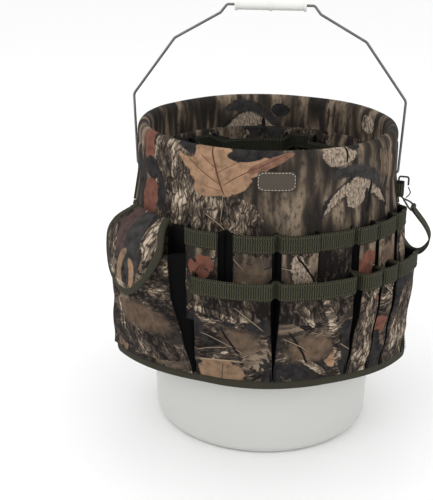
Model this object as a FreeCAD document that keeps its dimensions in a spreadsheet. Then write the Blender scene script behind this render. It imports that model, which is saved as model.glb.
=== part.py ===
"""Tool bucket organizer: a moulded pail with a wire bail, dressed in a sewn cover with rows of tool pockets.

Units are millimetres. The origin is the middle of the pail's flat base, and +Z is up. The two ears that
carry the bail lie on the X axis, and the front of the organizer faces -Y. Azimuths are in degrees round Z,
from the front (0) towards the right ear (+90).
"""

import math
import os
import re

import FreeCAD
import Part
import Sketcher

SHEET = "Sizes"

# Driving dimensions: spreadsheet alias, value, what it sets.
SIZES = [
    ("pail_height", 368.0, "base to the top of the rim"),
    ("base_radius", 134.5, "outside of the wall at the base"),
    ("wall_radius", 146.0, "outside of the wall from the lower rib up"),
    ("rim_radius", 151.0, "outside of the rim"),
    ("rim_depth", 7.0, "height of the rim bead"),
    ("rib_radius", 150.0, "outside of the two ribs"),
    ("rib_depth", 3.0, "height of a rib"),
    ("pail_wall", 2.2, "wall and floor"),
    ("base_round", 11.0, "round where the wall meets the base"),
    ("ring_radius", 104.0, "moulded groove in the base, inner radius"),
    ("ring_width", 5.0, "moulded groove in the base, width"),
    ("ring_depth", 1.0, "moulded groove in the base, depth"),
    ("ear_radius", 9.0, "boss of an ear"),
    ("ear_reach", 155.0, "face of an ear from the pail's axis"),
    ("ear_bore_depth", 8.5, "depth of the blind hole in an ear"),
    ("wire_radius", 1.5, "bail wire"),
    ("wire_play", 0.35, "gap between the wire and its hole, all round"),
    ("end_play", 1.0, "gap between the wire's end and the hole's bottom"),
    ("arm_gap", 1.0, "gap between an ear's face and the wire's side"),
    ("knee_spread", 3.0, "how much wider the bail is at the first bend than at the ears"),
    ("knee_rise", 86.0, "first bend above the ears"),
    ("shoulder_half", 111.0, "second bend from the middle"),
    ("shoulder_rise", 153.0, "second bend above the ears"),
    ("crook_half", 57.5, "foot of the crook from the middle"),
    ("crook_rise", 183.0, "foot of the crook above the ears"),
    ("seat_half", 50.0, "half of the straight seat of the grip"),
    ("seat_rise", 192.5, "seat of the grip above the ears"),
    ("arm_bend", 2.8, "bend radius at the ears"),
    ("bail_bend", 9.0, "bend radius of the other bends"),
    ("crook_bend", 4.0, "bend radius of the crook"),
    ("grip_length", 82.0, "grip"),
    ("grip_radius", 5.9, "barrel of the grip"),
    ("flange_radius", 6.8, "rings at the ends and middle of the grip"),
    ("flange_length", 3.0, "length of a ring"),
    ("cover_thick", 3.0, "padded cloth of the cover"),
    ("cover_gap", 0.5, "gap between the rim and the cover"),
    ("inner_gap", 0.8, "gap between the pail's wall and the cover inside it"),
    ("roll_round", 6.0, "round of the roll over the rim"),
    ("slit_half", 24.0, "half width of a slit for an ear"),
    ("slit_tape", 4.0, "width of the tape round a slit"),
    ("tape_proud", 0.6, "how far edge tape stands off the cloth"),
    ("panel_radius", 161.0, "outside of the front and back panels"),
    ("panel_thick", 3.0, "front and back panels"),
    ("panel_angle", 156.0, "each panel, round the pail"),
    ("hem_tape", 19.0, "height of the hem tape"),
    ("side_tape", 2.8, "width of a panel's side tape, in degrees"),
    ("hem_corner", 12.0, "round of the hem's corners"),
    ("sewn_turn", 5.0, "turn of the sewn panels on the pail"),
    ("sewn_gap", 0.2, "gap between sewn layers"),
    ("cloth", 1.8, "pocket cloth"),
    ("web_thick", 1.4, "webbing"),
    ("web_width", 20.0, "webbing on a pocket's mouth"),
    ("upper_depth", 12.0, "depth of an upper pocket"),
    ("lower_depth", 26.0, "depth of a lower pocket at its mouth"),
    ("lower_belly", 28.0, "greatest depth of a lower pocket"),
    ("lower_foot_depth", 9.0, "depth of a lower pocket at its foot"),
    ("pocket_round", 4.0, "round of a pocket's front corners"),
    ("flap_pocket_depth", 28.0, "depth of the flap pocket at its mouth"),
    ("flap_pocket_belly", 31.0, "greatest depth of the flap pocket"),
    ("flap_pocket_angle", 36.0, "flap pocket, round the pail"),
    ("flap_azimuth", -53.0, "middle of the flap pocket, on the panel"),
    ("flap_width", 116.0, "flap, edge to edge"),
    ("flap_thick", 2.4, "flap"),
    ("flap_tape", 8.0, "width of the tape round the flap"),
    ("flap_gap", 2.6, "gap between the flap and its pocket"),
    ("patch_width", 13.0, "hook and loop patches, in degrees"),
    ("patch_height", 20.0, "hook and loop patches"),
    ("patch_thick", 0.8, "hook and loop patches"),
    ("patch_gap", 0.1, "gap between the pocket and its patch"),
    ("liner_thick", 2.0, "inner lining"),
    ("inner_depth", 26.0, "depth of an inner pocket"),
    ("inner_angle", 44.0, "inner pocket, round the pail"),
    ("label_height", 21.0, "blank label"),
    ("label_width", 15.0, "blank label, in degrees"),
    ("label_thick", 0.8, "blank label"),
    ("label_azimuth", 2.0, "middle of the label, on the panel"),
    ("strap_azimuth", 80.0, "plane of the tape strap, on the pail"),
    ("strap_width", 20.0, "tape strap"),
    ("strap_thick", 1.8, "tape strap"),
    ("strap_bend", 7.0, "bends of the tape strap"),
    ("loop_width", 16.0, "webbing of the hanger loop"),
    ("loop_half", 6.5, "half of the hanger loop's span"),
    ("loop_thick", 1.3, "webbing of the hanger loop"),
    ("hook_wire", 1.1, "radius of the snap hook's wire"),
    ("gate_wire", 0.7, "radius of the gate's wire"),
    ("eye_half", 10.6, "half width of the hook's eye"),
    ("eye_play", 0.45, "gap between the eye and the strap's fold"),
]

# Places that follow another size: alias, what it is measured from, how far from that, what it sets.
# What hangs on the rim keeps its distance from the rim, whatever the pail's height.
TIED = [
    ("lower_rib", "pail_height", -76.0, "underside of the lower rib"),
    ("upper_rib", "pail_height", -24.0, "underside of the upper rib"),
    ("ear_height", "pail_height", -50.0, "centre of the ears"),
    ("cover_top", "pail_height", 10.0, "top of the roll over the rim"),
    ("cover_knee", "pail_height", -46.0, "where the cover starts to flare"),
    ("cover_hem", "pail_height", -82.0, "where the cover meets the panels"),
    ("inner_hem", "pail_height", -33.0, "lower edge of the cover inside the pail"),
    ("slit_top", "pail_height", -24.0, "top of a slit"),
    ("hem_height", "pail_height", -263.0, "lower edge of the hem"),
    ("upper_top", "pail_height", -76.0, "mouth of the upper pockets"),
    ("upper_foot", "pail_height", -184.0, "foot of the upper pockets"),
    ("lower_top", "pail_height", -125.0, "mouth of the lower pockets"),
    ("flap_pocket_top", "pail_height", -106.0, "mouth of the flap pocket"),
    ("flap_foot", "pail_height", -174.0, "lowest point of the flap"),
    ("flap_root_height", "pail_height", -74.0, "root of the flap"),
    ("flap_shoulder", "pail_height", -96.0, "where the flap turns down"),
    ("patch_foot", "pail_height", -158.0, "lower edge of the patches"),
    ("liner_foot", "pail_height", -184.0, "lower edge of the inner lining"),
    ("liner_flare", "pail_height", -50.0, "where the lining widens to meet the cover"),
    ("inner_top", "pail_height", -37.0, "mouth of the inner pockets"),
    ("label_foot", "pail_height", -31.5, "lower edge of the label"),
    ("loop_foot", "pail_height", -69.5, "lower edge of the hanger loop"),
    ("liner_radius", "wall_radius", -9.0, "outside of the inner lining"),
    ("flap_root", "panel_radius", 3.0, "root of the flap from the pail's axis"),
    ("loop_reach", "panel_radius", 5.0, "face of the hanger loop from the pail's axis"),
    (
        "cover_flare", "panel_radius - rim_radius - cover_gap - cover_thick", -0.5,
        "how far the cover flares below its knee",
    ),
]
VALUE = {alias: value for alias, value, _ in SIZES}
for tied_alias, base, offset, _ in TIED:
    VALUE[f"{tied_alias}_offset"] = offset
    VALUE[tied_alias] = sum(sign * VALUE[name] for sign, name in
                            zip([1] + [-1] * base.count(" - "), base.split(" - "))) + offset

# Pockets: name, azimuth of the middle on the sewn panel, angle covered, in degrees.
FRONT_UPPER = [
    ("front_upper_pocket_1", -24.6, 13.0),
    ("front_upper_pocket_2", -7.0, 12.6),
    ("front_upper_pocket_3", 10.0, 13.4),
    ("front_upper_pocket_4", 24.9, 14.0),
    ("front_upper_pocket_5", 37.1, 8.8),
    ("front_upper_pocket_6", 48.4, 11.6),
    ("front_upper_pocket_7", 61.2, 12.2),
]
FRONT_LOWER = [
    ("front_lower_pocket_1", -12.4, 27.2),
    ("front_lower_pocket_2", 16.9, 26.6),
    ("front_lower_pocket_3", 36.8, 9.4),
    ("front_lower_pocket_4", 45.7, 6.6),
    ("front_lower_pocket_5", 58.4, 17.0),
]
BACK_UPPER = [(f"back_upper_pocket_{i + 1}", 124.0 + 28.0 * i, 24.0) for i in range(5)]
BACK_LOWER = [(f"back_lower_pocket_{i + 1}", 127.5 + 35.0 * i, 31.0) for i in range(4)]
INNER = [(f"inner_pocket_{i + 1}", 8.0 + 60.0 * i, VALUE["inner_angle"]) for i in range(6)]


def beside_panel(points):
    """Turns (out from the panel's face, up from the pail's rim) into (distance from the axis, height)."""
    face, rim = VALUE["panel_radius"], VALUE["pail_height"]
    return [(round(face + out, 6), round(rim + up, 6)) for out, up in points]


# Centreline of the tape strap in its own radial plane, from the panel's face and the pail's rim.
STRAP_PATH = beside_panel([
    (1.9, -92.0),
    (1.9, -112.0),
    (15.0, -135.5),
    (29.5, -138.5),
    (41.0, -122.0),
    (36.0, -106.0),
    (18.5, -85.6),
])
STRAP_END = beside_panel([(16.9, -83.7)])[0]
# The snap hook in the same plane: from its apex, up behind the hanger loop, and over it.
HOOK_PATH = beside_panel([(6.0, -74.0), (0.9, -69.4), (-2.1, -46.6), (9.6, -46.6), (9.6, -56.5)])
GATE_PATH = beside_panel([(8.2, -71.7), (13.2, -65.6), (9.6, -58.6)])
NECK_HALF = 2.2

DEGREE = math.pi / 180.0

doc = FreeCAD.newDocument("BucketOrganizer")
sheet = doc.addObject("Spreadsheet::Sheet", SHEET)


def fill_sheet():
    """Writes the driving dimensions as plain numbers and the tied ones as sums, with aliases and notes."""
    for row, (alias, value, note) in enumerate(SIZES, start=1):
        sheet.set(f"A{row}", str(value))
        sheet.setAlias(f"A{row}", alias)
        sheet.set(f"B{row}", note)
    for row, (alias, base, offset, note) in enumerate(TIED, start=len(SIZES) + 1):
        sheet.set(f"C{row}", str(offset))
        sheet.setAlias(f"C{row}", f"{alias}_offset")
        sheet.set(f"A{row}", f"={base} + {alias}_offset")
        sheet.setAlias(f"A{row}", alias)
        sheet.set(f"B{row}", note)
    doc.recompute()


def bound(text):
    """The expression with each alias written as the sheet's cell."""

    def cell(word):
        return f"{SHEET}.{word.group()}" if word.group() in VALUE else word.group()

    return re.sub(r"[a-z_]+", cell, str(text))


def value(text):
    """What an expression over the aliases comes to now."""
    return float(sheet.evalExpression(bound(text)))


def new_body(label):
    body = doc.addObject("PartDesign::Body", label)
    body.Label = label
    body.AllowCompound = True
    return body


def origin_feature(body, role):
    return next(f for f in body.Origin.OriginFeatures if f.Role == role)


def new_sketch(body, role, turn=0.0, offset="0"):
    """A sketch on one of the body's own planes, turned about Z by an azimuth or moved along its normal."""
    sketch = body.newObject("Sketcher::SketchObject", f"{body.Label}_sketch")
    sketch.AttachmentSupport = [(origin_feature(body, role), "")]
    sketch.MapMode = "FlatFace"
    spin = FreeCAD.Rotation(FreeCAD.Vector(0, 1, 0), turn)
    sketch.AttachmentOffset = FreeCAD.Placement(FreeCAD.Vector(0, 0, value(offset)), spin)
    if offset != "0":
        sketch.setExpression("AttachmentOffset.Base.z", bound(offset))
    return sketch


def pin_point(sketch, line, end, where):
    """Fixes one end of a line at a place given by two expressions."""
    for kind, text, axis in (("DistanceX", where[0], -2), ("DistanceY", where[1], -1)):
        number = value(text)
        if abs(number) < 1e-9:
            sketch.addConstraint(Sketcher.Constraint("PointOnObject", line, end, axis))
            continue
        index = sketch.addConstraint(Sketcher.Constraint(kind, -1, 1, line, end, number))
        sketch.setExpression(f"Constraints[{index}]", bound(text))


def round_corner(sketch, line, radius):
    """Rounds the corner at the end of a line, and binds the arc's radius."""
    sketch.fillet(line, 2, value(radius), True, True)
    arc = max(i for i, g in enumerate(sketch.Geometry) if isinstance(g, Part.ArcOfCircle))
    index = sketch.addConstraint(Sketcher.Constraint("Radius", arc, value(radius)))
    sketch.setExpression(f"Constraints[{index}]", bound(radius))


def outline(sketch, points, closed=True):
    """Draws a chain of lines. A point is (x, y) or (x, y, radius), each an expression or a number."""
    places = [FreeCAD.Vector(value(p[0]), value(p[1]), 0) for p in points]
    first = sketch.GeometryCount
    lines = len(points) if closed else len(points) - 1
    for i in range(lines):
        sketch.addGeometry(Part.LineSegment(places[i], places[(i + 1) % len(points)]), False)
    for i in range(lines if closed else lines - 1):
        sketch.addConstraint(Sketcher.Constraint("Coincident", first + i, 2, first + (i + 1) % lines, 1))
    for i, point in enumerate(points):
        if i < lines:
            pin_point(sketch, first + i, 1, point)
        else:
            pin_point(sketch, first + i - 1, 2, point)
    for i, point in enumerate(points):
        if len(point) > 2:
            round_corner(sketch, first + (i - 1) % lines, point[2])
    return sketch


def turn_of(azimuth):
    """Turn about Z of a sketch whose middle faces an azimuth. An unturned one faces +X."""
    return azimuth - 90.0


def revolved(body, kind, points, angle, azimuth=90.0):
    """A revolved band or groove round Z, centred on an azimuth."""
    sketch = outline(new_sketch(body, "XZ_Plane", turn_of(azimuth)), points)
    feature = body.newObject(f"PartDesign::{kind}", f"{body.Label}_{kind.lower()}")
    feature.Profile = sketch
    feature.ReferenceAxis = (sketch, ["V_Axis"])
    feature.Midplane = True
    feature.setExpression("Angle", bound(angle))
    doc.recompute()
    return feature


def rounded(body, radius, wanted):
    """Fillets the edges of the body's shape that a test picks."""
    base = body.Tip
    edges = [f"Edge{i + 1}" for i, e in enumerate(base.Shape.Edges) if wanted(e)]
    if not edges:
        raise RuntimeError(f"{body.Label}: no edge to round")
    feature = body.newObject("PartDesign::Fillet", f"{body.Label}_round")
    feature.Base = (base, edges)
    feature.setExpression("Radius", bound(radius))
    doc.recompute()
    return feature


def piped(body, path_points, profile_role, profile_offset, draw_profile, path_role="XZ_Plane"):
    """A section swept along a chain of lines with rounded corners."""
    path = outline(new_sketch(body, path_role), path_points, closed=False)
    profile = new_sketch(body, profile_role, offset=profile_offset)
    draw_profile(profile)
    feature = body.newObject("PartDesign::AdditivePipe", f"{body.Label}_pipe")
    feature.Profile = profile
    feature.Spine = path
    doc.recompute()
    return feature


def circle(sketch, x, y, radius):
    """A circle bound to its place and radius."""
    centre = FreeCAD.Vector(value(x), value(y), 0)
    index = sketch.addGeometry(Part.Circle(centre, FreeCAD.Vector(0, 0, 1), value(radius)), False)
    pin_point(sketch, index, 3, (x, y))
    size = sketch.addConstraint(Sketcher.Constraint("Radius", index, value(radius)))
    sketch.setExpression(f"Constraints[{size}]", bound(radius))


def padded(body, sketch, length, kind="Pad", midplane=False, back=False):
    feature = body.newObject(f"PartDesign::{kind}", f"{body.Label}_{kind.lower()}")
    feature.Profile = sketch
    feature.Midplane = midplane
    feature.Reversed = back
    feature.setExpression("Length", bound(length))
    doc.recompute()
    return feature


def half_turn(body, feature):
    """Repeats a feature on the other side of the pail."""
    pattern = body.newObject("PartDesign::PolarPattern", f"{body.Label}_pair")
    pattern.Originals = [feature]
    pattern.Axis = (origin_feature(body, "Z_Axis"), [""])
    pattern.Angle = 360.0
    pattern.Occurrences = 2
    body.Tip = pattern
    doc.recompute()
    return pattern


def turned(body, azimuth):
    """Places a body drawn in the XZ plane on an azimuth."""
    spin = FreeCAD.Rotation(FreeCAD.Vector(0, 0, 1), turn_of(azimuth))
    body.Placement = FreeCAD.Placement(FreeCAD.Vector(), spin)


# ---------------------------------------------------------------- pail, bail and grip


def build_pail():
    """The moulded pail: a tapered wall on a ringed base, two ribs, a rim, and a bored ear a side."""
    body = new_body("pail")
    wall = "wall_radius"
    points = [("0", "0"), ("base_radius", "0", "base_round"), (wall, "lower_rib")]
    for rib in ("lower_rib", "upper_rib"):
        top = f"{rib} + rib_depth"
        points += [("rib_radius", rib), ("rib_radius", top), (wall, top)]
        if rib == "lower_rib":
            points.append((wall, "upper_rib"))
    points += [
        (wall, "pail_height - rim_depth"),
        ("rim_radius", "pail_height - rim_depth"),
        ("rim_radius", "pail_height", "pail_wall"),
        (f"{wall} - pail_wall", "pail_height"),
        (f"{wall} - pail_wall", "lower_rib"),
        ("base_radius - pail_wall", "pail_wall", "base_round - pail_wall"),
        ("0", "pail_wall"),
    ]
    revolved(body, "Revolution", points, "360")
    groove = [
        ("ring_radius", "0"),
        ("ring_radius + ring_width", "0"),
        ("ring_radius + ring_width", "ring_depth"),
        ("ring_radius", "ring_depth"),
    ]
    revolved(body, "Groove", groove, "360")
    boss = new_sketch(body, "YZ_Plane", offset="wall_radius - pail_wall / 2")
    circle(boss, "0", "ear_height", "ear_radius")
    ear = padded(body, boss, "ear_reach - wall_radius + pail_wall / 2")
    half_turn(body, ear)
    hole = new_sketch(body, "YZ_Plane", offset="ear_reach")
    circle(hole, "0", "ear_height", "wire_radius + wire_play")
    bore = padded(body, hole, "ear_bore_depth", kind="Pocket")
    half_turn(body, bore)
    return body


def build_bail():
    """The bail: one wire bent up from ear to ear, with a crook each side of the grip's seat."""
    body = new_body("bail")
    start = "ear_reach - ear_bore_depth + end_play"
    arm = "ear_reach + arm_gap + wire_radius"
    side = [
        (start, "ear_height"),
        (arm, "ear_height", "arm_bend"),
        (f"{arm} + knee_spread", "ear_height + knee_rise", "bail_bend"),
        ("shoulder_half", "ear_height + shoulder_rise", "bail_bend"),
        ("crook_half", "ear_height + crook_rise", "crook_bend"),
        ("seat_half", "ear_height + seat_rise", "crook_bend"),
    ]
    other = [(f"-({p[0]})", *p[1:]) for p in reversed(side)]
    piped(body, side + other, "YZ_Plane", start, lambda s: circle(s, "0", "ear_height", "wire_radius"))
    return body


def build_grip():
    """The moulded grip that turns on the bail: a tube with a ring at each end and in the middle."""
    body = new_body("grip")
    half, ring = "grip_length / 2", "flange_length"
    bore = "wire_radius + wire_play"
    right = [
        (half, bore),
        (half, "flange_radius"),
        (f"{half} - {ring}", "flange_radius"),
        (f"{half} - {ring}", "grip_radius"),
        (f"{ring} / 2", "grip_radius"),
        (f"{ring} / 2", "flange_radius"),
    ]
    left = [(f"-({x})", y) for x, y in reversed(right)]
    sketch = outline(new_sketch(body, "XZ_Plane"), right + left)
    feature = body.newObject("PartDesign::Revolution", "grip_revolution")
    feature.Profile = sketch
    feature.ReferenceAxis = (sketch, ["H_Axis"])
    feature.Angle = 360.0
    body.setExpression("Placement.Base.z", bound("ear_height + seat_rise"))
    doc.recompute()
    return body


# ---------------------------------------------------------------- cover, panels and tapes


def cover_outer():
    """Outside of the cover over the rim."""
    return "rim_radius + cover_gap + cover_thick"


def leg_section(top, proud="0"):
    """Section of the cover's outer leg below a height, with both faces moved out by a little."""
    out = cover_outer()
    return [
        (f"{out} - cover_thick - {proud}", top),
        (f"{out} + {proud}", top),
        (f"{out} + {proud}", "cover_knee"),
        (f"{out} + cover_flare + {proud}", "cover_hem"),
        (f"{out} + cover_flare - cover_thick - {proud}", "cover_hem"),
        (f"{out} - cover_thick - {proud}", "cover_knee"),
    ]


def cover_core():
    """All that lies inside the cover's outer leg."""
    out = cover_outer()
    return [
        ("0", "cover_hem - 10"),
        (f"{out} + cover_flare * (1 + 10 / (cover_knee - cover_hem))", "cover_hem - 10"),
        (out, "cover_knee"),
        (out, "cover_top"),
        ("0", "cover_top"),
    ]


def slit_angle(half_width):
    """Angle of a slit of a half width, at the cover's outside."""
    return f"2 * asin(({half_width}) / ({cover_outer()}))"


def slit_place():
    """Azimuth of the slit by the right ear: the cover sits turned, so the ear is off the slit's middle."""
    return 90.0 + value("sewn_turn")


def build_rim_cover():
    """The padded cloth over the rim: down inside the pail and down outside, slit at each ear."""
    body = new_body("rim_cover")
    out, inside = cover_outer(), "wall_radius - pail_wall - inner_gap"
    points = [
        (f"{out} - cover_thick", "pail_height + cover_gap / 3"),
        (f"{out} - cover_thick", "cover_knee"),
        (f"{out} + cover_flare - cover_thick", "cover_hem"),
        (f"{out} + cover_flare", "cover_hem"),
        (out, "cover_knee"),
        (out, "cover_top", "roll_round"),
        (f"{inside} - cover_thick", "cover_top", "roll_round"),
        (f"{inside} - cover_thick", "inner_hem"),
        (inside, "inner_hem"),
        (inside, "pail_height + cover_gap / 3"),
    ]
    revolved(body, "Revolution", points, "360")
    slot = leg_section("slit_top + slit_tape", "1")
    slot[3] = (slot[3][0], "cover_hem - 1")
    slot[4] = (slot[4][0], "cover_hem - 1")
    cut = revolved(body, "Groove", slot, slit_angle("slit_half + slit_tape"), slit_place())
    half_turn(body, cut)
    return body


def build_slit_tape():
    """Folded tape round the edge of each slit."""
    body = new_body("slit_tape")
    band = leg_section("slit_top + slit_tape", "tape_proud")
    both = revolved(body, "Revolution", band, slit_angle("slit_half + slit_tape"), slit_place())
    half_turn(body, both)
    slot = leg_section("slit_top", "2")
    slot[3] = (slot[3][0], "cover_hem - 1")
    slot[4] = (slot[4][0], "cover_hem - 1")
    cut = revolved(body, "Groove", slot, slit_angle("slit_half"), slit_place())
    half_turn(body, cut)
    return body


def band(inner, outer, low, high):
    """A rectangular section."""
    return [(inner, low), (outer, low), (outer, high), (inner, high)]


def build_panel(label, facing):
    """A stiff backing panel inside its edge tape."""
    body = new_body(label)
    section = band("panel_radius - panel_thick", "panel_radius", "hem_height + hem_tape", "cover_hem")
    revolved(body, "Revolution", section, "panel_angle - 2 * side_tape", facing)
    return body


def build_panel_tape(label, facing):
    """The folded tape down both sides of a panel and along its hem, with rounded lower corners."""
    body = new_body(label)
    inner, outer = "panel_radius - panel_thick - tape_proud", "panel_radius + tape_proud"
    revolved(body, "Revolution", band(inner, outer, "hem_height", "cover_hem"), "panel_angle", facing)
    window = band(f"{inner} - 1", f"{outer} + 1", "hem_height + hem_tape", "cover_hem + 1")
    revolved(body, "Groove", window, "panel_angle - 2 * side_tape", facing)
    low = value("hem_height")

    def lower_corner(edge):
        box = edge.BoundBox
        radial = math.hypot(box.XLength, box.YLength) < 2 * value("panel_thick")
        return radial and box.ZMax < low + 0.01

    rounded(body, "hem_corner", lower_corner)
    return body


def build_label():
    """A blank woven label, sewn on the front of the cover."""
    body = new_body("blank_label")
    out = cover_outer()
    section = band(out, f"{out} + label_thick", "label_foot", "label_foot + label_height")
    revolved(body, "Revolution", section, "label_width", value("label_azimuth + sewn_turn"))
    thick = value("label_thick")
    rounded(body, "label_thick * 3", lambda e: abs(e.Length - thick) < 0.01)
    return body


# ---------------------------------------------------------------- pockets and their webbing


def build_pocket(label, azimuth, angle, section, hollow):
    """A sewn pocket: two side walls, a front and a floor against the panel, open at the top.

    section gives the outside as (depth from the back, height), floor up; hollow is the back's radius and
    the sign of the depth, which is +1 outside the panels and -1 inside the lining.
    """
    back, sign = hollow
    body = new_body(label)
    foot, mouth = section[0][1], section[-1][1]
    outside = [(back, foot)] + [(f"{back} + {sign} * ({d})", z) for d, z in section] + [(back, mouth)]
    revolved(body, "Revolution", outside, angle, azimuth)
    radius, depth = value(back), value(section[0][0])

    def front_corner(edge):
        ends = [v.Point for v in edge.Vertexes]
        if len(ends) < 2 or abs(ends[0].z - ends[1].z) < 2.0:
            return False
        return all(abs(math.hypot(p.x, p.y) - radius) > depth / 2 for p in ends)

    rounded(body, "pocket_round", front_corner)
    inside = [(f"{back} - {sign}", f"{foot} + cloth")]
    inside += [(f"{back} + {sign} * ({section[0][0]} - cloth)", f"{foot} + cloth")]
    inside += [(f"{back} + {sign} * ({d} - cloth)", z) for d, z in section[1:-1]]
    inside.append((f"{back} + {sign} * ({section[-1][0]} - cloth)", f"{mouth} + 1"))
    inside.append((f"{back} - {sign}", f"{mouth} + 1"))
    wall = f"2 * cloth / ({back}) * 180 / pi"
    revolved(body, "Groove", inside, f"{angle} - {wall}", azimuth)
    return body


def outer_back():
    return "(panel_radius + tape_proud + sewn_gap)"


def upper_section():
    return [("upper_depth", "upper_foot"), ("upper_depth", "upper_top")]


def lower_section():
    foot = "(hem_height + hem_tape)"
    return [
        ("lower_foot_depth", foot),
        ("lower_belly", f"{foot} + 32"),
        ("lower_depth", "lower_top - web_width"),
        ("lower_depth", "lower_top"),
    ]


def flap_pocket_section():
    foot = "(hem_height + hem_tape)"
    return [
        ("lower_foot_depth", foot),
        ("flap_pocket_belly", f"{foot} + 40"),
        ("flap_pocket_depth", "flap_pocket_top - web_width"),
        ("flap_pocket_depth", "flap_pocket_top"),
    ]


def inner_section():
    return [("inner_depth", "liner_foot + cloth"), ("inner_depth", "inner_top")]


def lower_pocket(label, azimuth, angle):
    """A lower pocket. Behind its mouth it stands off the upper pockets' feet; its side walls stop there."""
    body = build_pocket(label, azimuth, angle, lower_section(), (outer_back(), 1))
    back = outer_back()
    clear = f"{back} + upper_depth + web_thick + sewn_gap"
    behind = band(f"{back} - 1", clear, "upper_foot - sewn_gap", "lower_top + 1")
    revolved(body, "Groove", behind, f"{angle} + 2", azimuth)
    return body


def build_webbing(label, pockets, front, mouth, back, sign, reach):
    """One length of webbing bound over a row of mouths: a band round each pocket, and flat links between."""
    body = new_body(label)
    low = f"{mouth} - web_width"
    outer = f"{front} + {sign} * web_thick"
    wrap = f"2 * web_thick / ({front}) * 180 / pi"
    for _, azimuth, angle in pockets:
        revolved(body, "Revolution", band(back, outer, low, mouth), f"{angle} + {wrap}", azimuth)
    azimuths = [p[1] for p in pockets]
    if reach == "gaps":
        links = [(a[1] + a[2] / 2, b[1] - b[2] / 2) for a, b in zip(pockets, pockets[1:])]
    else:
        links = [(a + value(reach) / 2, a + 60.0 - value(reach) / 2) for a in azimuths]
    link_outer = f"{back} + {sign} * web_thick"
    for start, end in links:
        revolved(body, "Revolution", band(back, link_outer, low, mouth), end - start + 1.0, (start + end) / 2)
    for _, azimuth, angle in pockets:
        hollow = band(f"{back} - {sign}", front, f"{low} - 1", f"{mouth} + 1")
        revolved(body, "Groove", hollow, angle, azimuth)
    return body


# ---------------------------------------------------------------- flap pocket's flap


def flap_section(thick_low, thick_high):
    """Section of the flap from its root, out over the pocket and down, between two offsets."""
    face = f"({outer_back()} + flap_pocket_belly + flap_gap)"
    return [
        (f"flap_root + {thick_low}", f"flap_root_height + {thick_low}"),
        (f"{face} + {thick_low}", f"flap_shoulder + {thick_low}"),
        (f"{face} + {thick_low}", "flap_foot"),
        (f"{face} + {thick_high}", "flap_foot"),
        (f"{face} + {thick_high}", f"flap_shoulder + {thick_high}"),
        (f"flap_root + {thick_high}", f"flap_root_height + {thick_high}"),
    ]


def flap_outline(inset):
    """The flap's outline seen from outside, from root to foot and back: straight sides and a round foot."""
    half = f"(flap_width / 2 - {inset})"
    foot = f"(flap_foot + {inset})"
    top = "(flap_root_height + 20)"
    round_radius = f"{half} * 0.86"
    return [(f"-{half}", top), (f"-{half}", foot, round_radius), (half, foot, round_radius), (half, top)]


def trim_outside(body, inset):
    """Cuts away what lies outside the flap's outline."""
    sketch = new_sketch(body, "YZ_Plane")
    outline(sketch, flap_outline(inset))
    far = "flap_width"
    low, high = "flap_foot - 20", "flap_root_height + 40"
    outline(sketch, [(f"-{far}", low), (far, low), (far, high), (f"-{far}", high)])
    padded(body, sketch, "2 * panel_radius", kind="Pocket", back=True)


def build_flap():
    """The flap's cloth, inside its edge tape."""
    body = new_body("flap")
    revolved(body, "Revolution", flap_section("0", "flap_thick"), "46")
    trim_outside(body, "flap_tape")
    turned(body, value("flap_azimuth + sewn_turn"))
    return body


def build_flap_tape():
    """The folded tape round the flap's sides and foot."""
    body = new_body("flap_tape")
    revolved(body, "Revolution", flap_section("-tape_proud", "flap_thick + tape_proud"), "46")
    trim_outside(body, "0")
    sketch = outline(new_sketch(body, "YZ_Plane"), flap_outline("flap_tape"))
    padded(body, sketch, "2 * panel_radius", kind="Pocket", back=True)
    turned(body, value("flap_azimuth + sewn_turn"))
    return body


def build_patch(label, inner, thick):
    """A patch of hook or loop fastener."""
    body = new_body(label)
    section = band(inner, f"{inner} + {thick}", "patch_foot", "patch_foot + patch_height")
    revolved(body, "Revolution", section, "patch_width", value("flap_azimuth + sewn_turn"))
    return body


# ---------------------------------------------------------------- lining


def build_liner():
    """The lining that hangs inside the pail from the cover's inner edge."""
    body = new_body("liner")
    join = "wall_radius - pail_wall - inner_gap"
    points = [
        ("liner_radius - liner_thick", "liner_foot"),
        ("liner_radius", "liner_foot"),
        ("liner_radius", "liner_flare"),
        (join, "inner_hem"),
        (f"{join} - cover_thick", "inner_hem"),
        ("liner_radius - liner_thick", "liner_flare"),
    ]
    revolved(body, "Revolution", points, "360")
    return body


# ---------------------------------------------------------------- tape strap and its snap hook


def build_strap():
    """A webbing strap for tape rolls: sewn to the panel's edge, looped, and folded round the hook's eye."""
    body = new_body("tape_strap")
    bend = VALUE["strap_bend"]
    path = [(x, z, bend) if 0 < i < len(STRAP_PATH) - 1 else (x, z) for i, (x, z) in enumerate(STRAP_PATH)]

    def section(sketch):
        half, thick = "strap_width / 2", "strap_thick / 2"
        root = STRAP_PATH[0][0]
        outline(sketch, [(f"{root} - {thick}", f"-({half})"), (f"{root} + {thick}", f"-({half})"),
                         (f"{root} + {thick}", half), (f"{root} - {thick}", half)])

    piped(body, path, "XY_Plane", str(STRAP_PATH[0][1]), section)
    fold = new_sketch(body, "XZ_Plane")
    circle(fold, STRAP_END[0], STRAP_END[1], "hook_wire + eye_play + strap_thick")
    padded(body, fold, "strap_width", midplane=True)
    hole = new_sketch(body, "XZ_Plane")
    circle(hole, STRAP_END[0], STRAP_END[1], "hook_wire + eye_play")
    padded(body, hole, "strap_width + 2", kind="Pocket", midplane=True)
    turned(body, value("strap_azimuth"))
    return body


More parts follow.
